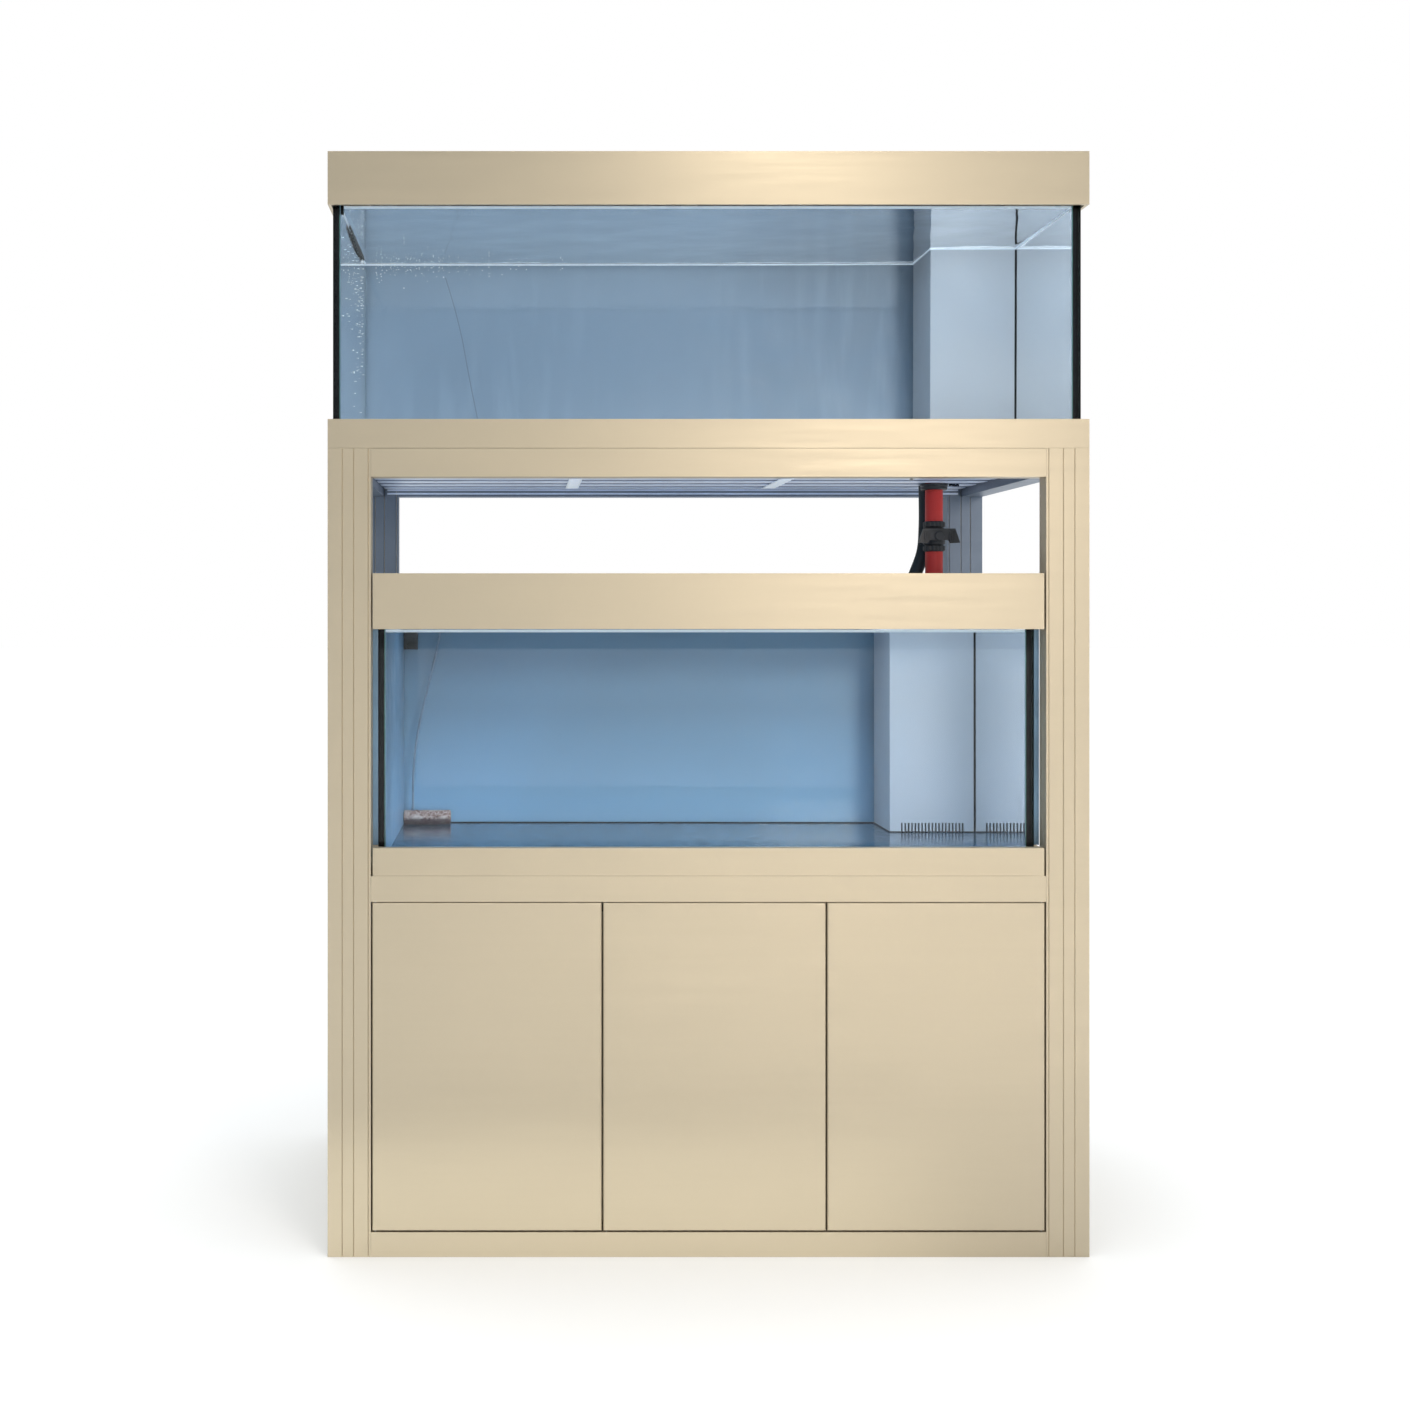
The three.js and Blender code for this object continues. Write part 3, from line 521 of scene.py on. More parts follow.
def build_air_line():
    route = smooth_route(AIR_LINE_POINTS, 3)
    curve = bpy.data.curves.new("air_line_tube", "CURVE")
    curve.dimensions = "3D"
    curve.bevel_depth = AIR_LINE_RADIUS
    curve.bevel_resolution = 4
    curve.use_fill_caps = True
    spline = curve.splines.new("POLY")
    spline.points.add(len(route) - 1)
    for target, point in zip(spline.points, route):
        target.co = (*point, 1)
    curve.materials.append(MATERIALS["clear_tube"])
    piece = bpy.data.objects.new("air_line_tube", curve)
    bpy.context.scene.collection.objects.link(piece)
    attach(piece, STAND)
    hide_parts("air_line")


# ---------- CAD nodes keep their shape and take their material ----------
def finish_nodes():
    slots = {s["node"]: s["material_slot"] for s in frame["record"]["subparts"]}
    for name, node in NODES.items():
        node.data.materials.clear()
        node.data.materials.append(MATERIALS[slots[name]])
    for tier in ("upper", "lower"):
        for side in ("left", "right"):
            NODES[f"{tier}_tank_{side}"].data.materials[0] = SIDE_GLASS
        NODES[f"{tier}_tank_bottom"].data.materials[0] = BASE_GLASS
        for pane in ("bottom", "front", "back", "left", "right"):
            NODES[f"{tier}_tank_{pane}"].visible_shadow = False
    NODES["sump"].data.materials[0] = BASE_GLASS
    NODES["sump"].visible_shadow = False
    # The back rail and back posts get painted blue-grey shade on their inner faces.
    for name, blue_shade_facing in (("top_rail_back", (0, -1, -1)), ("top_rail_left", (1, 0, -1)), ("top_rail_right", (-1, 0, -1)),
                         ("post_back_left", (1, -1, 0)), ("post_back_right", (-1, -1, 0))):
        NODES[name].data.materials[0] = champagne_metal(f"champagne_{name}", blue_shade_facing)


# ---------- tank contents ----------
WATER_GAP = 0.6 * MM
FILM_GAP, FILM_THICKNESS, FILM_WRINKLE = 0.4 * MM, 0.4 * MM, 0.08 * MM
COMB_SHADE_INSET = 7 * MM
SURFACE = {"upper": 1.662, "lower": 0.986}
INSIDE = {
    tier: (Vector((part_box(f"{tier}_tank_left")[1].x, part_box(f"{tier}_tank_front")[1].y,
                   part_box(f"{tier}_tank_bottom")[1].z)),
           Vector((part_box(f"{tier}_tank_right")[0].x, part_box(f"{tier}_tank_back")[0].y, SURFACE[tier])))
    for tier in ("upper", "lower")}


def build_water(tier):
    """A closed body of water with a gently waved top."""
    low, high = INSIDE[tier]
    low = low + Vector((WATER_GAP,) * 3)
    high = Vector((high.x - WATER_GAP, high.y - WATER_GAP, high.z))
    size = high - low
    bm = bmesh.new()
    bmesh.ops.create_grid(bm, x_segments=110, y_segments=50, size=0.5)
    top = set(bm.faces)
    for vert in bm.verts:
        edge = max(abs(vert.co.x), abs(vert.co.y)) > 0.4999
        x = low.x + (vert.co.x + 0.5) * size.x
        y = low.y + (vert.co.y + 0.5) * size.y
        wave = 0 if edge else noise.noise(Vector((x * 13, y * 13, low.z))) * 0.9 * MM
        vert.co = (x, y, high.z + wave)
    for face in top:
        face.material_index = 1
    border = [e for e in bm.edges if e.is_boundary]
    sides = bmesh.ops.extrude_edge_only(bm, edges=border)
    for vert in sides["geom"]:
        if isinstance(vert, bmesh.types.BMVert):
            vert.co.z = low.z
    bmesh.ops.contextual_create(bm, geom=[e for e in bm.edges if e.is_boundary])
    for face in bm.faces:
        if face not in top:
            face.material_index = 0
    piece = make_piece(f"{tier}_water", bm, None)
    mesh = piece.data
    mesh.materials.append(WATER)
    mesh.materials.append(WATER_TOP)
    for polygon in mesh.polygons:
        polygon.use_smooth = polygon.material_index == 1
    piece.visible_shadow = False


def build_film(tier):
    low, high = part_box(f"{tier}_tank_back")
    bm = bmesh.new()
    bmesh.ops.create_grid(bm, x_segments=60, y_segments=24, size=0.5)
    for vert in bm.verts:
        x = low.x + (vert.co.x + 0.5) * (high.x - low.x)
        z = low.z + (vert.co.y + 0.5) * (high.z - low.z)
        wrinkle = FILM_WRINKLE * noise.noise(Vector((x * 3, 3.3, z * 3)))
        vert.co = (x, high.y + FILM_GAP + wrinkle, z)
    thicken(bm, (0, FILM_THICKNESS, 0))
    make_piece(f"{tier}_back_film", bm, FILMS[tier])


def build_floor_film():
    low, high = INSIDE["lower"]
    bm = bmesh.new()
    add_block(bm, (low.x + MM, low.y + MM, low.z + MM), (high.x - MM, high.y - MM, low.z + 1.8 * MM), 0.2 * MM)
    make_piece("lower_floor_film", bm, NAVY)


def add_fillet(bm, corner, toward_x, toward_y, z0, z1, size):
    """A concave bead of silicone down an inside corner."""
    section = [Vector((0, 0))]
    steps = 5
    for i in range(steps + 1):
        a = math.pi / 2 * i / steps
        section.append(Vector((size * (1 - math.sin(a)), size * (1 - math.cos(a)))))
    rings = []
    for z in (z0, z1):
        rings.append([bm.verts.new((corner[0] + toward_x * p.x, corner[1] + toward_y * p.y, z)) for p in section])
    count = len(section)
    for i in range(count):
        j = (i + 1) % count
        bm.faces.new((rings[0][i], rings[0][j], rings[1][j], rings[1][i]))
    cap(bm, rings[0])
    cap(bm, rings[1])


def build_seams(tier):
    """Black silicone behind the front pane, along the floor and round the overflow box; clear beads in the corners."""
    low, high = INSIDE[tier]
    left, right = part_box(f"{tier}_tank_left"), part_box(f"{tier}_tank_right")
    box_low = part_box(f"{tier}_overflow_box")[0]
    top = left[1].z
    bm = bmesh.new()
    clear = bmesh.new()
    for side, sign in ((left, 1), (right, -1)):
        outer_x, inner_x = (side[0].x, side[1].x) if sign > 0 else (side[1].x, side[0].x)
        strip = sorted((outer_x, outer_x + sign * 8.8 * MM))
        add_block(bm, (strip[0], side[0].y - 0.26 * MM, side[0].z), (strip[1], side[0].y - 0.04 * MM, top))
        add_block(clear, (side[0].x, side[1].y + 0.04 * MM, side[0].z), (side[1].x, side[1].y + 0.26 * MM, top))
        add_fillet(clear, (inner_x, low.y), sign, 1, low.z + MM, top, 1.0 * MM)
        add_fillet(clear, (inner_x, high.y), sign, -1, low.z + MM, top, 1.0 * MM)
    if tier == "upper":
        add_block(bm, (left[1].x - MM, low.y + 0.1 * MM, SURFACE[tier] - 12 * MM),
                  (left[1].x + 6 * MM, low.y + 3 * MM, top - MM), 0.5 * MM)
    foot = low.z + 3.6 * MM
    add_block(bm, (low.x + 2 * MM, low.y, low.z), (high.x - 2 * MM, low.y + 2 * MM, low.z + 1.8 * MM), 0.3 * MM)
    add_block(bm, (low.x + 2 * MM, high.y - 2 * MM, low.z), (box_low.x - 0.1 * MM, high.y, foot), 0.3 * MM)
    add_block(bm, (box_low.x - 2 * MM, box_low.y - 2 * MM, low.z),
              (box_low.x - 0.1 * MM, high.y - 2 * MM, foot), 0.3 * MM)
    add_block(bm, (box_low.x - 2 * MM, box_low.y - 2 * MM, low.z), (high.x, box_low.y - 0.1 * MM, foot), 0.3 * MM)
    add_fillet(bm, (high.x, box_low.y - 0.1 * MM), -1, -1, low.z + MM, SURFACE[tier], 2.6 * MM)
    make_piece(f"{tier}_silicone_seams", bm, SILICONE)
    make_piece(f"{tier}_clear_beads", clear, CLEAR_BEAD)


def build_side_film():
    """The lower tank's left pane is lined with the same blue film as the back."""
    low, high = INSIDE["lower"]
    bm = bmesh.new()
    add_block(bm, (low.x + 1.0 * MM, low.y + 2 * MM, low.z + 2 * MM),
              (low.x + 1.5 * MM, high.y - 2.4 * MM, SURFACE["lower"] - 2 * MM), 0.1 * MM)
    make_piece("lower_side_film", bm, FILMS["lower"])


def build_spacers():
    """Soft strips that fill the gaps between the lower tank and the front posts."""
    bm = bmesh.new()
    tank_low, tank_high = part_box("lower_tank_left")[0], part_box("lower_tank_right")[1]
    left_post, right_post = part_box("post_front_left"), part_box("post_front_right")
    back = left_post[1].y
    z0, z1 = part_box("lower_base_trim")[1].z + 0.3 * MM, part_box("lower_hood")[0].z - 0.3 * MM
    for x0, x1 in ((left_post[1].x + 0.3 * MM, tank_low.x - 0.3 * MM),
                   (tank_high.x + 0.3 * MM, right_post[0].x - 0.3 * MM)):
        add_block(bm, (x0, back + 0.5 * MM, z0), (x1, back + 7 * MM, z1), 1.0 * MM)
        for i in range(3):
            x = x0 + (x1 - x0) * (i + 0.5) / 3
            add_block(bm, (x - 0.5 * MM, back - 0.4 * MM, z0), (x + 0.5 * MM, back + 1.0 * MM, z1), 0.3 * MM)
    make_piece("lower_side_spacers", bm, SPACER)


def build_comb_shade():
    """A thin black sheet behind the comb of slots, inside the lower overflow box: painted shade, for the dark inside of
    the box seen through the slots.
    """
    low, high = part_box("lower_overflow_box")
    seed = random.Random(5)
    bm = bmesh.new()
    bmesh.ops.create_grid(bm, x_segments=60, y_segments=14, size=0.5)
    for vert in bm.verts:
        x = low.x + 9 * MM + (vert.co.x + 0.5) * (high.x - low.x - 18 * MM)
        z = low.z + 3 * MM + (vert.co.y + 0.5) * 42 * MM
        vert.co = (x, low.y + COMB_SHADE_INSET + seed.uniform(0, 0.5) * MM, z)
    thicken(bm, (0, 2.5 * MM, 0))
    make_piece("comb_shade_sheet", bm, COMB_SHADE)


def build_water_edge(tier):
    """The curled edge of the water against the glass and the overflow box, made bright by painted highlight."""
    low, high = INSIDE[tier]
    box_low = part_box(f"{tier}_overflow_box")[0]
    z = SURFACE[tier]
    rise, reach = 2.6 * MM, 1.6 * MM
    inset = 0.9 * MM
    loop = [(low.x + inset, low.y + inset), (high.x - inset, low.y + inset), (high.x - inset, box_low.y - inset),
            (box_low.x - inset, box_low.y - inset), (box_low.x - inset, high.y - inset),
            (low.x + inset, high.y - inset)]
    inward = [(1, 1), (-1, 1), (-1, -1), (-1, -1), (-1, -1), (1, -1)]
    bm = bmesh.new()
    section = [(0.0, 0.6), (0.0, -1.0), (0.35, -0.75), (0.6, -0.35), (1.0, 0.0)]
    rings = []
    for (x, y), (dx, dy) in zip(loop, inward):
        rings.append([bm.verts.new((x + dx * u * reach, y + dy * u * reach, z + v * rise)) for u, v in section])
    for i, ring in enumerate(rings):
        following = rings[(i + 1) % len(rings)]
        for a in range(len(section)):
            b = (a + 1) % len(section)
            bm.faces.new((ring[a], ring[b], following[b], following[a]))
    piece = make_piece(f"{tier}_water_edge", bm, BRIGHT_EDGE)
    piece.visible_shadow = False


def build_skimmer():
    """A black slotted surface intake hung on the left pane, just under the upper hood."""
    low, high = INSIDE["upper"]
    x0 = low.x + 1.5 * MM
    y0, count, pitch = low.y + 0.150, 13, 24 * MM
    bm = bmesh.new()
    for i in range(count):
        y = y0 + i * pitch
        arc = math.sin(math.pi * (i + 0.8) / (count + 0.6))
        add_block(bm, (x0, y, high.z - 4 * MM - 9 * MM * arc), (x0 + 3 * MM, y + 9 * MM, high.z + 4 * MM), 1.2 * MM)
    add_block(bm, (x0 + 0.5 * MM, y0 - 2 * MM, high.z + 1.5 * MM),
              (x0 + 2.5 * MM, y0 + (count - 1) * pitch + 11 * MM, high.z + 6 * MM), 0.8 * MM)
    make_piece("upper_skimmer", bm, MATERIALS["black_plastic"])


def build_bubbles():
    """Small air bubbles clinging to the upper tank's left pane and along the back under the surface."""
    seed = random.Random(7)
    low, high = INSIDE["upper"]
    bm = bmesh.new()
    spots = []
    for _ in range(150):
        drift = abs(seed.gauss(0, 0.16))
        z = high.z - 6 * MM - abs(seed.gauss(0, 0.14))
        spots.append((low.x + 1.6 * MM, high.y - 0.05 - min(0.42, drift), max(low.z + 0.01, z),
                      seed.uniform(0.35, 1.0)))
    for _ in range(130):
        x = low.x + 0.02 + abs(seed.gauss(0, 0.14))
        spots.append((x, high.y - 1.6 * MM, high.z - 3 * MM - abs(seed.gauss(0, 0.012)), seed.uniform(0.4, 1.2)))
    for x, y, z, size in spots:
        place = Matrix.Translation((x, y, z)) @ Matrix.Diagonal((1, 1, seed.uniform(0.8, 1.15), 1))
        bmesh.ops.create_icosphere(bm, subdivisions=1, radius=size * MM, matrix=place)
    # Painted highlight: the bubbles' silvery colour and glow stand in for the light they reflect.
    make_piece("upper_bubbles", bm, BUBBLE, smooth=True).visible_shadow = False


def build_film_crease():
    """A thin dark line of painted shade running down the upper film, along a crease."""
    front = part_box("upper_tank_back")[1].y + 0.12 * MM
    points = [(-0.435, 1.640), (-0.420, 1.590), (-0.405, 1.530), (-0.392, 1.460), (-0.378, 1.390), (-0.366, 1.330)]
    route = smooth_route([(x, front, z) for x, z in points], 6)
    bm = bmesh.new()
    half = 0.55 * MM
    previous = None
    for point in route:
        pair = [bm.verts.new(point + Vector((side * half, 0, 0))) for side in (-1, 1)]
        if previous:
            bm.faces.new((previous[0], previous[1], pair[1], pair[0]))
        previous = pair
    thicken(bm, (0, 0.1 * MM, 0))
    make_piece("upper_film_crease", bm, CREASE_SHADE)


# ---------- service bay ----------
def build_deck_ribs():
    """Raised ribs along the underside of the deck, between its grooves, and two along the back rail, pale with painted
    light.
    """
    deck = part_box("upper_deck")
    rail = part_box("top_rail_back")
    under = deck[0].z
    x0, x1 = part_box("top_rail_left")[1].x + 2 * MM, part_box("top_rail_right")[0].x - 2 * MM
    bm = bmesh.new()
    first, last, pitch = deck[0].y + 0.020, rail[0].y - 0.020, 0.060
    count = int((last - first) / pitch) + 1
    for i in range(count):
        y = first + (last - first) * i / (count - 1)
        add_block(bm, (x0, y - 15 * MM, under - 1.5 * MM), (x1, y + 15 * MM, under - 0.2 * MM), 0.4 * MM)
    for z in (rail[0].z + 4 * MM, rail[0].z + 11 * MM):
        add_block(bm, (x0 + 4 * MM, rail[0].y - 1.3 * MM, z),
                  (x1 - 4 * MM, rail[0].y - 0.15 * MM, z + 3.5 * MM), 0.4 * MM)
    make_piece("deck_ribs", bm, LIT_RIB)


def build_bay_details():
    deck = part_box("upper_deck")
    pipe_low, pipe_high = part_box("drain_pipe_upper")
    centre = (pipe_low + pipe_high) / 2
    radius = (pipe_high.x - pipe_low.x) / 2
    under = deck[0].z

    for index, x in enumerate((-0.197, 0.178)):
        bm = bmesh.new()
        half, thickness = 12 * MM, 0.9 * MM
        count = 48
        rows = []
        for i in range(count + 1):
            y = 0.010 + 0.208 * i / count
            sag = 0.5 * MM * (1 + math.sin(i * 0.9))
            z = under - 2.0 * MM - sag
            rows.append([bm.verts.new((x + u * half, y, z - abs(u) * 0.1 * MM)) for u in (-1, -0.5, 0, 0.5, 1)])
        for a, b in zip(rows, rows[1:]):
            for k in range(4):
                bm.faces.new((a[k], a[k + 1], b[k + 1], b[k]))
        thicken(bm, (0, 0, -thickness))
        make_piece(f"deck_strap_{index}", bm, STRAP, smooth=True)

    bm = bmesh.new()
    top = under - 1.7 * MM
    profile = [(radius + r * MM, top - drop * MM) for r, drop in (
        (0.3, 11), (6.5, 11), (8, 9.5), (8, 5), (9, 4), (9, 0), (0.3, 0), (0.3, 11))]
    add_turned(bm, profile, (centre.x, centre.y, 0), sides=40)
    make_piece("pipe_collar", bm, MATERIALS["black_plastic"])

    bm = bmesh.new()
    screw = (0.404, 0.030, under - 1.6 * MM)
    profile = [(0.0005, -2.6 * MM), (2.5 * MM, -2.3 * MM), (4.2 * MM, -1.2 * MM), (4.6 * MM, 0)]
    rings = add_turned(bm, profile, screw, sides=20)
    cap(bm, rings[0])
    make_piece("deck_screw", bm, MATERIALS["steel"], True)

    seed = random.Random(3)
    route = [(centre.x + radius + 8 * MM + i * 2.4 * MM, centre.y - 0.012 + seed.uniform(-0.006, 0.006),
              under - 3.4 * MM - seed.uniform(0, 1.6) * MM) for i in range(9)]
    bm = bmesh.new()
    add_tube(bm, smooth_route(route, 5), 1.7 * MM, 10)
    make_piece("deck_sealant", bm, SILICONE, smooth=True)


def build_valve_details():
    """Ribbed union nuts above and below the valve, and raised ribs on the winged handle."""
    valve_low, valve_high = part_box("drain_valve")
    pipe_low, pipe_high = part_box("drain_pipe_upper")
    centre = (pipe_low + pipe_high) / 2
    radius = (pipe_high.x - pipe_low.x) / 2
    bm = bmesh.new()
    for z0, z1 in ((valve_high.z - 11 * MM, valve_high.z - 1 * MM), (valve_low.z + 1 * MM, valve_low.z + 11 * MM)):
        sides = 64
        rings = []
        for z, grow in ((z0, 0.4), (z0 + MM, 1.0), (z1 - MM, 1.0), (z1, 0.4)):
            ring = []
            for i in range(sides):
                turn = 2 * math.pi * i / sides
                rib = 1.1 * MM if i % 4 < 2 else 0.0
                r = radius + 1.3 * MM + (1.6 * MM + rib) * grow
                ring.append(bm.verts.new((centre.x + r * math.cos(turn), centre.y + r * math.sin(turn), z)))
            rings.append(ring)
        join_rings(bm, rings)
    make_piece("valve_unions", bm, MATERIALS["black_plastic"])

    handle_low, handle_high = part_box("valve_handle")
    middle = (handle_low + handle_high) / 2
    bm = bmesh.new()
    for offset in (-27, -23, -19, 19, 23, 27):
        x = middle.x + offset * MM
        add_block(bm, (x - 0.8 * MM, handle_low.y - 1.0 * MM, middle.z - 9 * MM),
                  (x + 0.8 * MM, handle_low.y + 0.3 * MM, middle.z + 9 * MM), 0.4 * MM)
    rings = add_turned(bm, [(9 * MM, handle_low.y + 0.2 * MM), (9 * MM, handle_low.y - 1.4 * MM),
                            (7.5 * MM, handle_low.y - 2.2 * MM), (0.5 * MM, handle_low.y - 2.4 * MM)],
                       (middle.x, 0, middle.z), "Y", 28)
    cap(bm, rings[-1])
    make_piece("valve_handle_ribs", bm, MATERIALS["black_plastic"],
               body="valve_handle")


HOSE_POINTS = mm([
    (-20, 30, 152), (-20, 30, 190), (-20, 31, 240), (-12, 36, 310), (12, 48, 370), (60, 68, 425),
    (130, 92, 460), (210, 120, 474), (290, 144, 478), (350, 158, 484), (396, 166, 508), (421, 173, 548),
    (428, 174, 590), (428, 174, 630), (428, 174, 700), (428, 174, 800), (428, 174, 900),
    (428, 174, 990), (432, 174, 1040), (448, 174, 1085),
    (464, 174, 1130), (468, 174, 1180), (468, 174, 1240), (468, 174, 1300), (468, 174, 1400),
    (468, 174, 1520), (468, 174, 1640)])


def build_hose():
    """The return hose, round and smooth, with a steel clip at the pump."""
    bm = bmesh.new()
    add_tube(bm, smooth_route(HOSE_POINTS, 4), 12 * MM, 28)
    hose = make_piece("return_hose_tube", bm, MATERIALS["black_rubber"],
                      True)
    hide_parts("return_hose")
    bm = bmesh.new()
    x, y, z = HOSE_POINTS[0]
    ring = [(12.2 * MM, z + 8 * MM), (13.2 * MM, z + 8 * MM), (13.2 * MM, z + 17 * MM), (12.2 * MM, z + 17 * MM),
            (12.2 * MM, z + 8 * MM)]
    add_turned(bm, ring, (x, y, 0), sides=32)
    add_block(bm, (x + 12 * MM, y - 4 * MM, z + 9.5 * MM), (x + 19 * MM, y + 4 * MM, z + 15.5 * MM), MM)
    make_piece("hose_clip", bm, MATERIALS["steel"])


# ---------- fittings in the lower tank ----------
def build_air_stone():
    """A rough cast stone with a pressed cap at each end and a barb for the air line."""
    low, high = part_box("air_stone")
    radius = (high.y - low.y) / 2
    middle_y = (low.y + high.y) / 2
    middle_z = low.z + radius
    bm = bmesh.new()
    sides, steps = 40, 70
    rings = []
    for i in range(steps + 1):
        x = low.x + (high.x - low.x) * i / steps
        edge = min(1.0, min(i, steps - i) / 3 + 0.72)
        ring = []
        for k in range(sides):
            turn = 2 * math.pi * k / sides
            pit = noise.noise(Vector((x * 260, math.cos(turn) * 5, math.sin(turn) * 5)))
            r = radius * edge * (0.955 + 0.045 * pit)
            ring.append(bm.verts.new((x, middle_y + r * math.cos(turn), middle_z + r * math.sin(turn))))
        rings.append(ring)
    join_rings(bm, rings)
    cap(bm, rings[0])
    cap(bm, rings[-1])
    stone = make_piece("air_stone_body", bm, MATERIALS["mineral"], True)
    bm = bmesh.new()
    x = AIR_LINE_POINTS[-1][0]
    neck = [(1.2 * MM, middle_z + 0.010), (3.4 * MM, middle_z + 0.010), (3.4 * MM, high.z - 9 * MM),
            (2.6 * MM, high.z - 8 * MM), (2.9 * MM, high.z - 5 * MM), (2.3 * MM, high.z - 4.5 * MM),
            (2.6 * MM, high.z - 0.1 * MM), (1.2 * MM, high.z - 0.1 * MM), (1.2 * MM, middle_z + 0.010)]
    add_turned(bm, neck, (x, middle_y, 0), sides=24)
    make_piece("air_stone_barb", bm, MATERIALS["clear_tube"])
    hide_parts("air_stone")


def build_nozzle_slats():
    low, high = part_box("return_nozzle")
    bm = bmesh.new()
    for i in range(4):
        z = low.z + 6 * MM + i * 7 * MM
        add_block(bm, (low.x + 2.5 * MM, low.y - 1.2 * MM, z), (high.x - 2.5 * MM, low.y + 0.2 * MM, z + 2.4 * MM),
                  0.5 * MM)
    make_piece("return_nozzle_slats", bm, MATERIALS["black_plastic"])


# ---------- lamps, lids, cabinet ----------
def build_lamp_diffusers():
    for tier in ("upper", "lower"):
        low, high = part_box(f"lamp_bar_{tier}")
        y = (low.y + high.y) / 2
        bm = bmesh.new()
        add_block(bm, (low.x + 32 * MM, y - 16 * MM, low.z + 1.5 * MM), (high.x - 32 * MM, y + 16 * MM, low.z + 5 * MM),
                  1.2 * MM)
        make_piece(f"lamp_diffuser_{tier}", bm, DIFFUSER)


def build_lid_pulls():
    for name in ("upper_lid_left", "upper_lid_right"):
        low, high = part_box(name)
        middle = (low + high) / 2
        y = low.y + 0.030
        bm = bmesh.new()
        points = [(middle.x - 0.030, y, high.z + 0.3 * MM), (middle.x - 0.029, y, high.z + 5 * MM),
                  (middle.x - 0.022, y, high.z + 8 * MM), (middle.x + 0.022, y, high.z + 8 * MM),
                  (middle.x + 0.029, y, high.z + 5 * MM), (middle.x + 0.030, y, high.z + 0.3 * MM)]
        add_tube(bm, smooth_route(points, 6), 2.2 * MM, 16)
        for x in (points[0][0], points[-1][0]):
            foot = [(4.2 * MM, high.z + 0.1 * MM), (4.2 * MM, high.z + 1.0 * MM), (2.4 * MM, high.z + 1.6 * MM)]
            rings = add_turned(bm, foot, (x, y, 0), sides=20)
            cap(bm, rings[0])
        make_piece(f"{name}_pull", bm, MATERIALS["steel"], True, body=name)


def build_cable_grommets():
    low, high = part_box("back_panel")
    for hand, x in (("left", -0.400), ("right", 0.400)):
        bm = bmesh.new()
        profile = [(27 * MM, low.y - 1.5 * MM), (36 * MM, low.y - 1.5 * MM), (36 * MM, low.y - 0.2 * MM),
                   (31.6 * MM, low.y - 0.2 * MM), (31.6 * MM, high.y + 0.2 * MM), (36 * MM, high.y + 0.2 * MM),
                   (36 * MM, high.y + 1.5 * MM), (27 * MM, high.y + 1.5 * MM), (27 * MM, low.y - 1.5 * MM)]
        add_turned(bm, profile, (x, 0, 0.440), "Y", 40)
        make_piece(f"cable_grommet_{hand}", bm, MATERIALS["black_rubber"])


def build_panel_screws():
    """Pan-head screws round the back panel and along the side panels' top edges."""
    low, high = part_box("back_panel")
    bm = bmesh.new()
    spots = []
    for z in (low.z + 0.015, high.z - 0.015):
        spots += [(low.x + 0.03 + (high.x - low.x - 0.06) * i / 6, z) for i in range(7)]
    for x in (low.x + 0.03, high.x - 0.03):
        spots += [(x, low.z + 0.18), (x, low.z + 0.35)]
    for x, z in spots:
        head = [(r * MM, high.y + out * MM) for r, out in ((4.0, 0.1), (3.8, 1.2), (2.6, 2.0), (0.9, 2.1), (0.7, 1.3))]
        rings = add_turned(bm, head, (x, 0, z), "Y", 18)
        cap(bm, rings[-1])
    make_piece("back_panel_screws", bm, MATERIALS["steel"], True)


def build_filter_media():
    """Short ceramic tubes heaped in the sump's middle chamber."""
    seed = random.Random(11)
    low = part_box("sump")[0]
    bm = bmesh.new()
    for layer in range(5):
        for column in range(9):
            for row in range(17):
                x = 0.134 + column * 0.0232 + seed.uniform(-2, 2) * MM
                y = low.y + 0.020 + row * 0.0224 + seed.uniform(-2, 2) * MM
                z = low.z + 0.018 + layer * 0.0185 + seed.uniform(-1, 1) * MM
                tilt = Matrix.Rotation(seed.uniform(0, math.pi), 4, "Z") @ Matrix.Rotation(
                    seed.uniform(-0.5, 0.5) + math.pi / 2, 4, "X")
                place = Matrix.Translation((x, y, z)) @ tilt
                rings = add_turned(bm, [(4 * MM, -8 * MM), (8 * MM, -8 * MM), (8 * MM, 8 * MM), (4 * MM, 8 * MM),
                                        (4 * MM, -8 * MM)], (0, 0, 0), sides=10)
                bmesh.ops.transform(bm, matrix=place, verts=[v for ring in rings for v in ring])
    make_piece("filter_media", bm, CERAMIC)


# ---------- stage, light and view ----------
def build_stage():
    bm = bmesh.new()
    bmesh.ops.create_grid(bm, x_segments=2, y_segments=2, size=40)
    bmesh.ops.translate(bm, vec=(0, 0, LOW.z - 0.2 * MM), verts=bm.verts)
    mesh = mesh_of(bm, "stage_floor")
    floor = bpy.data.objects.new("stage_floor", mesh)
    bpy.context.scene.collection.objects.link(floor)
    material, tree, shader, _ = new_material("stage_floor")
    tree.links.new(colour_ramp(tree, noise_node(tree, 0.8, 3), [(0.3, (0.92, 0.92, 0.92)), (0.7, (0.94, 0.94, 0.94))]),
                   shader.inputs["Base Color"])
    shader.inputs["Roughness"].default_value = 0.9
    mesh.materials.append(material)


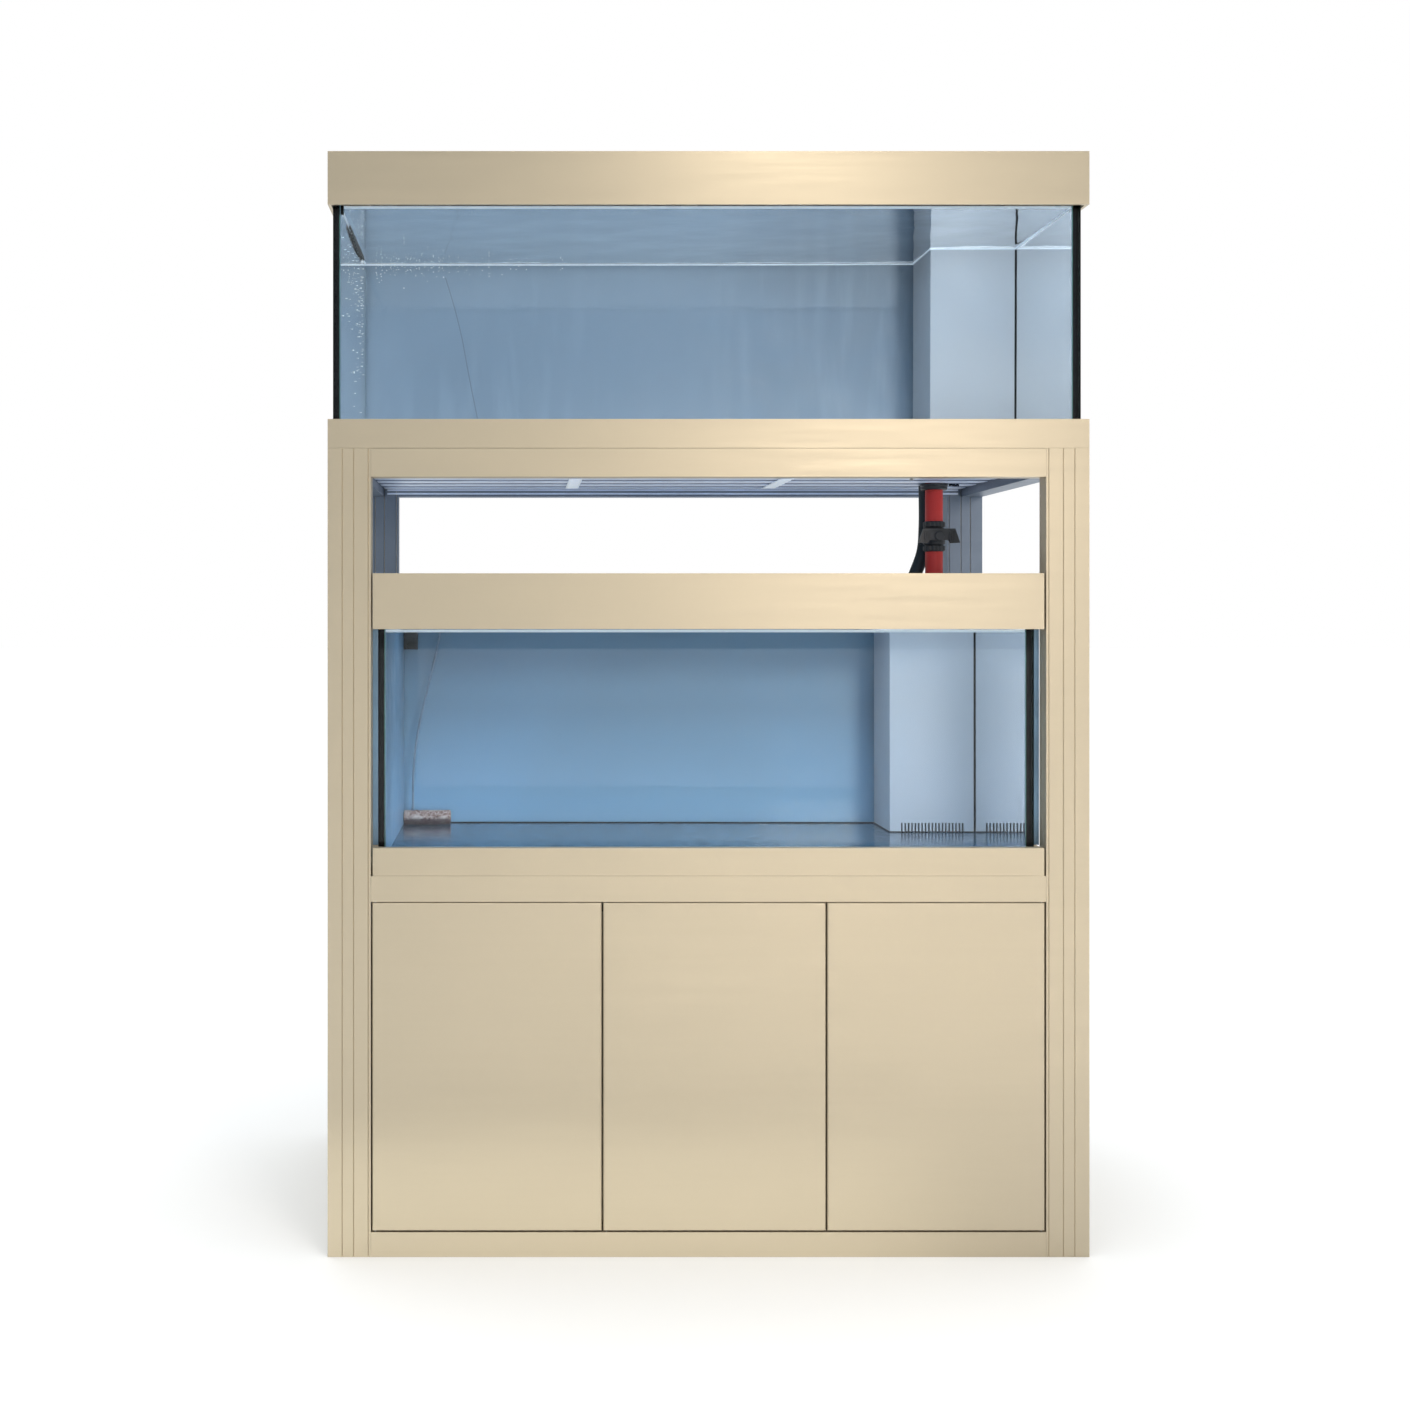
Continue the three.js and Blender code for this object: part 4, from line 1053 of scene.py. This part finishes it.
def build_world():
    """A white backdrop to the eye, and a slightly cool, dimmer room as light."""
    world = bpy.data.worlds.new("studio")
    bpy.context.scene.world = world
    world.use_nodes = True
    tree = world.node_tree
    tree.nodes.clear()
    output = tree.nodes.new("ShaderNodeOutputWorld")
    room = tree.nodes.new("ShaderNodeBackground")
    room.inputs["Color"].default_value = (0.36, 0.39, 0.405, 1)
    backdrop = tree.nodes.new("ShaderNodeBackground")
    backdrop.inputs["Color"].default_value = (1, 1, 1, 1)
    ray = tree.nodes.new("ShaderNodeLightPath")
    both = tree.nodes.new("ShaderNodeMixShader")
    tree.links.new(ray.outputs["Is Camera Ray"], both.inputs["Fac"])
    tree.links.new(room.outputs["Background"], both.inputs[1])
    tree.links.new(backdrop.outputs["Background"], both.inputs[2])
    tree.links.new(both.outputs["Shader"], output.inputs["Surface"])


def area_light(name, location, target, size, energy, colour=(1, 1, 1), spread=180, seen=True):
    data = bpy.data.lights.new(name, "AREA")
    data.shape = "RECTANGLE"
    data.size, data.size_y = size
    data.energy = energy
    data.color = colour
    data.spread = math.radians(spread)
    light = bpy.data.objects.new(name, data)
    bpy.context.scene.collection.objects.link(light)
    light.location = location
    light.rotation_euler = (Vector(target) - Vector(location)).to_track_quat("-Z", "Y").to_euler()
    if not seen:
        light.visible_camera = light.visible_glossy = light.visible_transmission = False


def build_lights():
    area_light("key", (1.02, FRONT - 3.0, 1.49), (0.0, FRONT, 1.1), (0.60, 0.34), 18, (1, 0.90, 0.80))
    area_light("hood_glow", (0.35, FRONT - 1.2, 2.22), (0.12, FRONT, 1.75), (0.3, 0.22), 3.6, (1, 0.92, 0.82))
    area_light("front_pool", (0.80, FRONT - 2.6, 3.0), (0.80, FRONT - 2.6, 0), (0.7, 0.7), 30, (1, 0.90, 0.78), 66)
    area_light("base_wash", (-0.30, FRONT - 1.05, 0.05), (-0.30, FRONT, -0.02), (1.4, 0.06), 0.36, (1, 0.99, 0.90), 28)
    overhead = bpy.data.lights.new("overhead", "SUN")
    overhead.energy = 2.5
    overhead.angle = math.radians(50)
    light = bpy.data.objects.new("overhead", overhead)
    bpy.context.scene.collection.objects.link(light)
    light.location = (0, 0, 4)
    for tier, energy, y, length in (("upper", 1.0, 0.0, 1.14), ("lower", 1.1, 0.03, 0.98)):
        low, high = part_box(f"lamp_bar_{tier}")
        middle = (low + high) / 2
        area_light(f"{tier}_tank_glow", (middle.x, y, low.z - 2 * MM), (middle.x, y, 0), (length, 0.05),
                   energy, (0.80, 0.90, 1.0), 172)
    area_light("upper_fill", (0.34, -0.10, 1.48), (0.43, 0.27, 1.45), (0.36, 0.26), 0.17, (0.80, 0.90, 1.0),
               seen=False)
    area_light("lower_fill", (-0.05, -0.12, 0.74), (-0.05, 0.27, 0.69), (0.86, 0.17), 0.22, (0.74, 0.86, 1.0),
               seen=False)
    area_light("lower_box_fill", (0.40, -0.10, 0.68), (0.43, 0.11, 0.655), (0.24, 0.05), 0.14, (0.78, 0.88, 1.0),
               seen=False)
    low, high = INSIDE["lower"]
    area_light("lower_foot_glow", (-0.05, low.y + 0.02, low.z + 0.012), (-0.05, high.y, low.z + 0.035), (0.86, 0.01),
               0.36, (0.72, 0.85, 1.0), 80, seen=False)
    area_light("bay_glow", (0, -0.12, 1.068), (0, 0.16, 1.24), (1.0, 0.05), 1.8, (0.55, 0.72, 1.0), 150,
               seen=False)


def build_all():
    build_camera()
    build_air_line()
    finish_nodes()
    for tier in ("upper", "lower"):
        build_water(tier)
        build_film(tier)
        build_seams(tier)
        build_water_edge(tier)
    build_floor_film()
    build_side_film()
    build_spacers()
    build_comb_shade()
    build_skimmer()
    build_bubbles()
    build_film_crease()
    build_deck_ribs()
    build_bay_details()
    build_valve_details()
    build_hose()
    build_air_stone()
    build_nozzle_slats()
    build_lamp_diffusers()
    build_lid_pulls()
    build_cable_grommets()
    build_panel_screws()
    build_filter_media()
    build_stage()
    build_world()
    build_lights()


build_all()
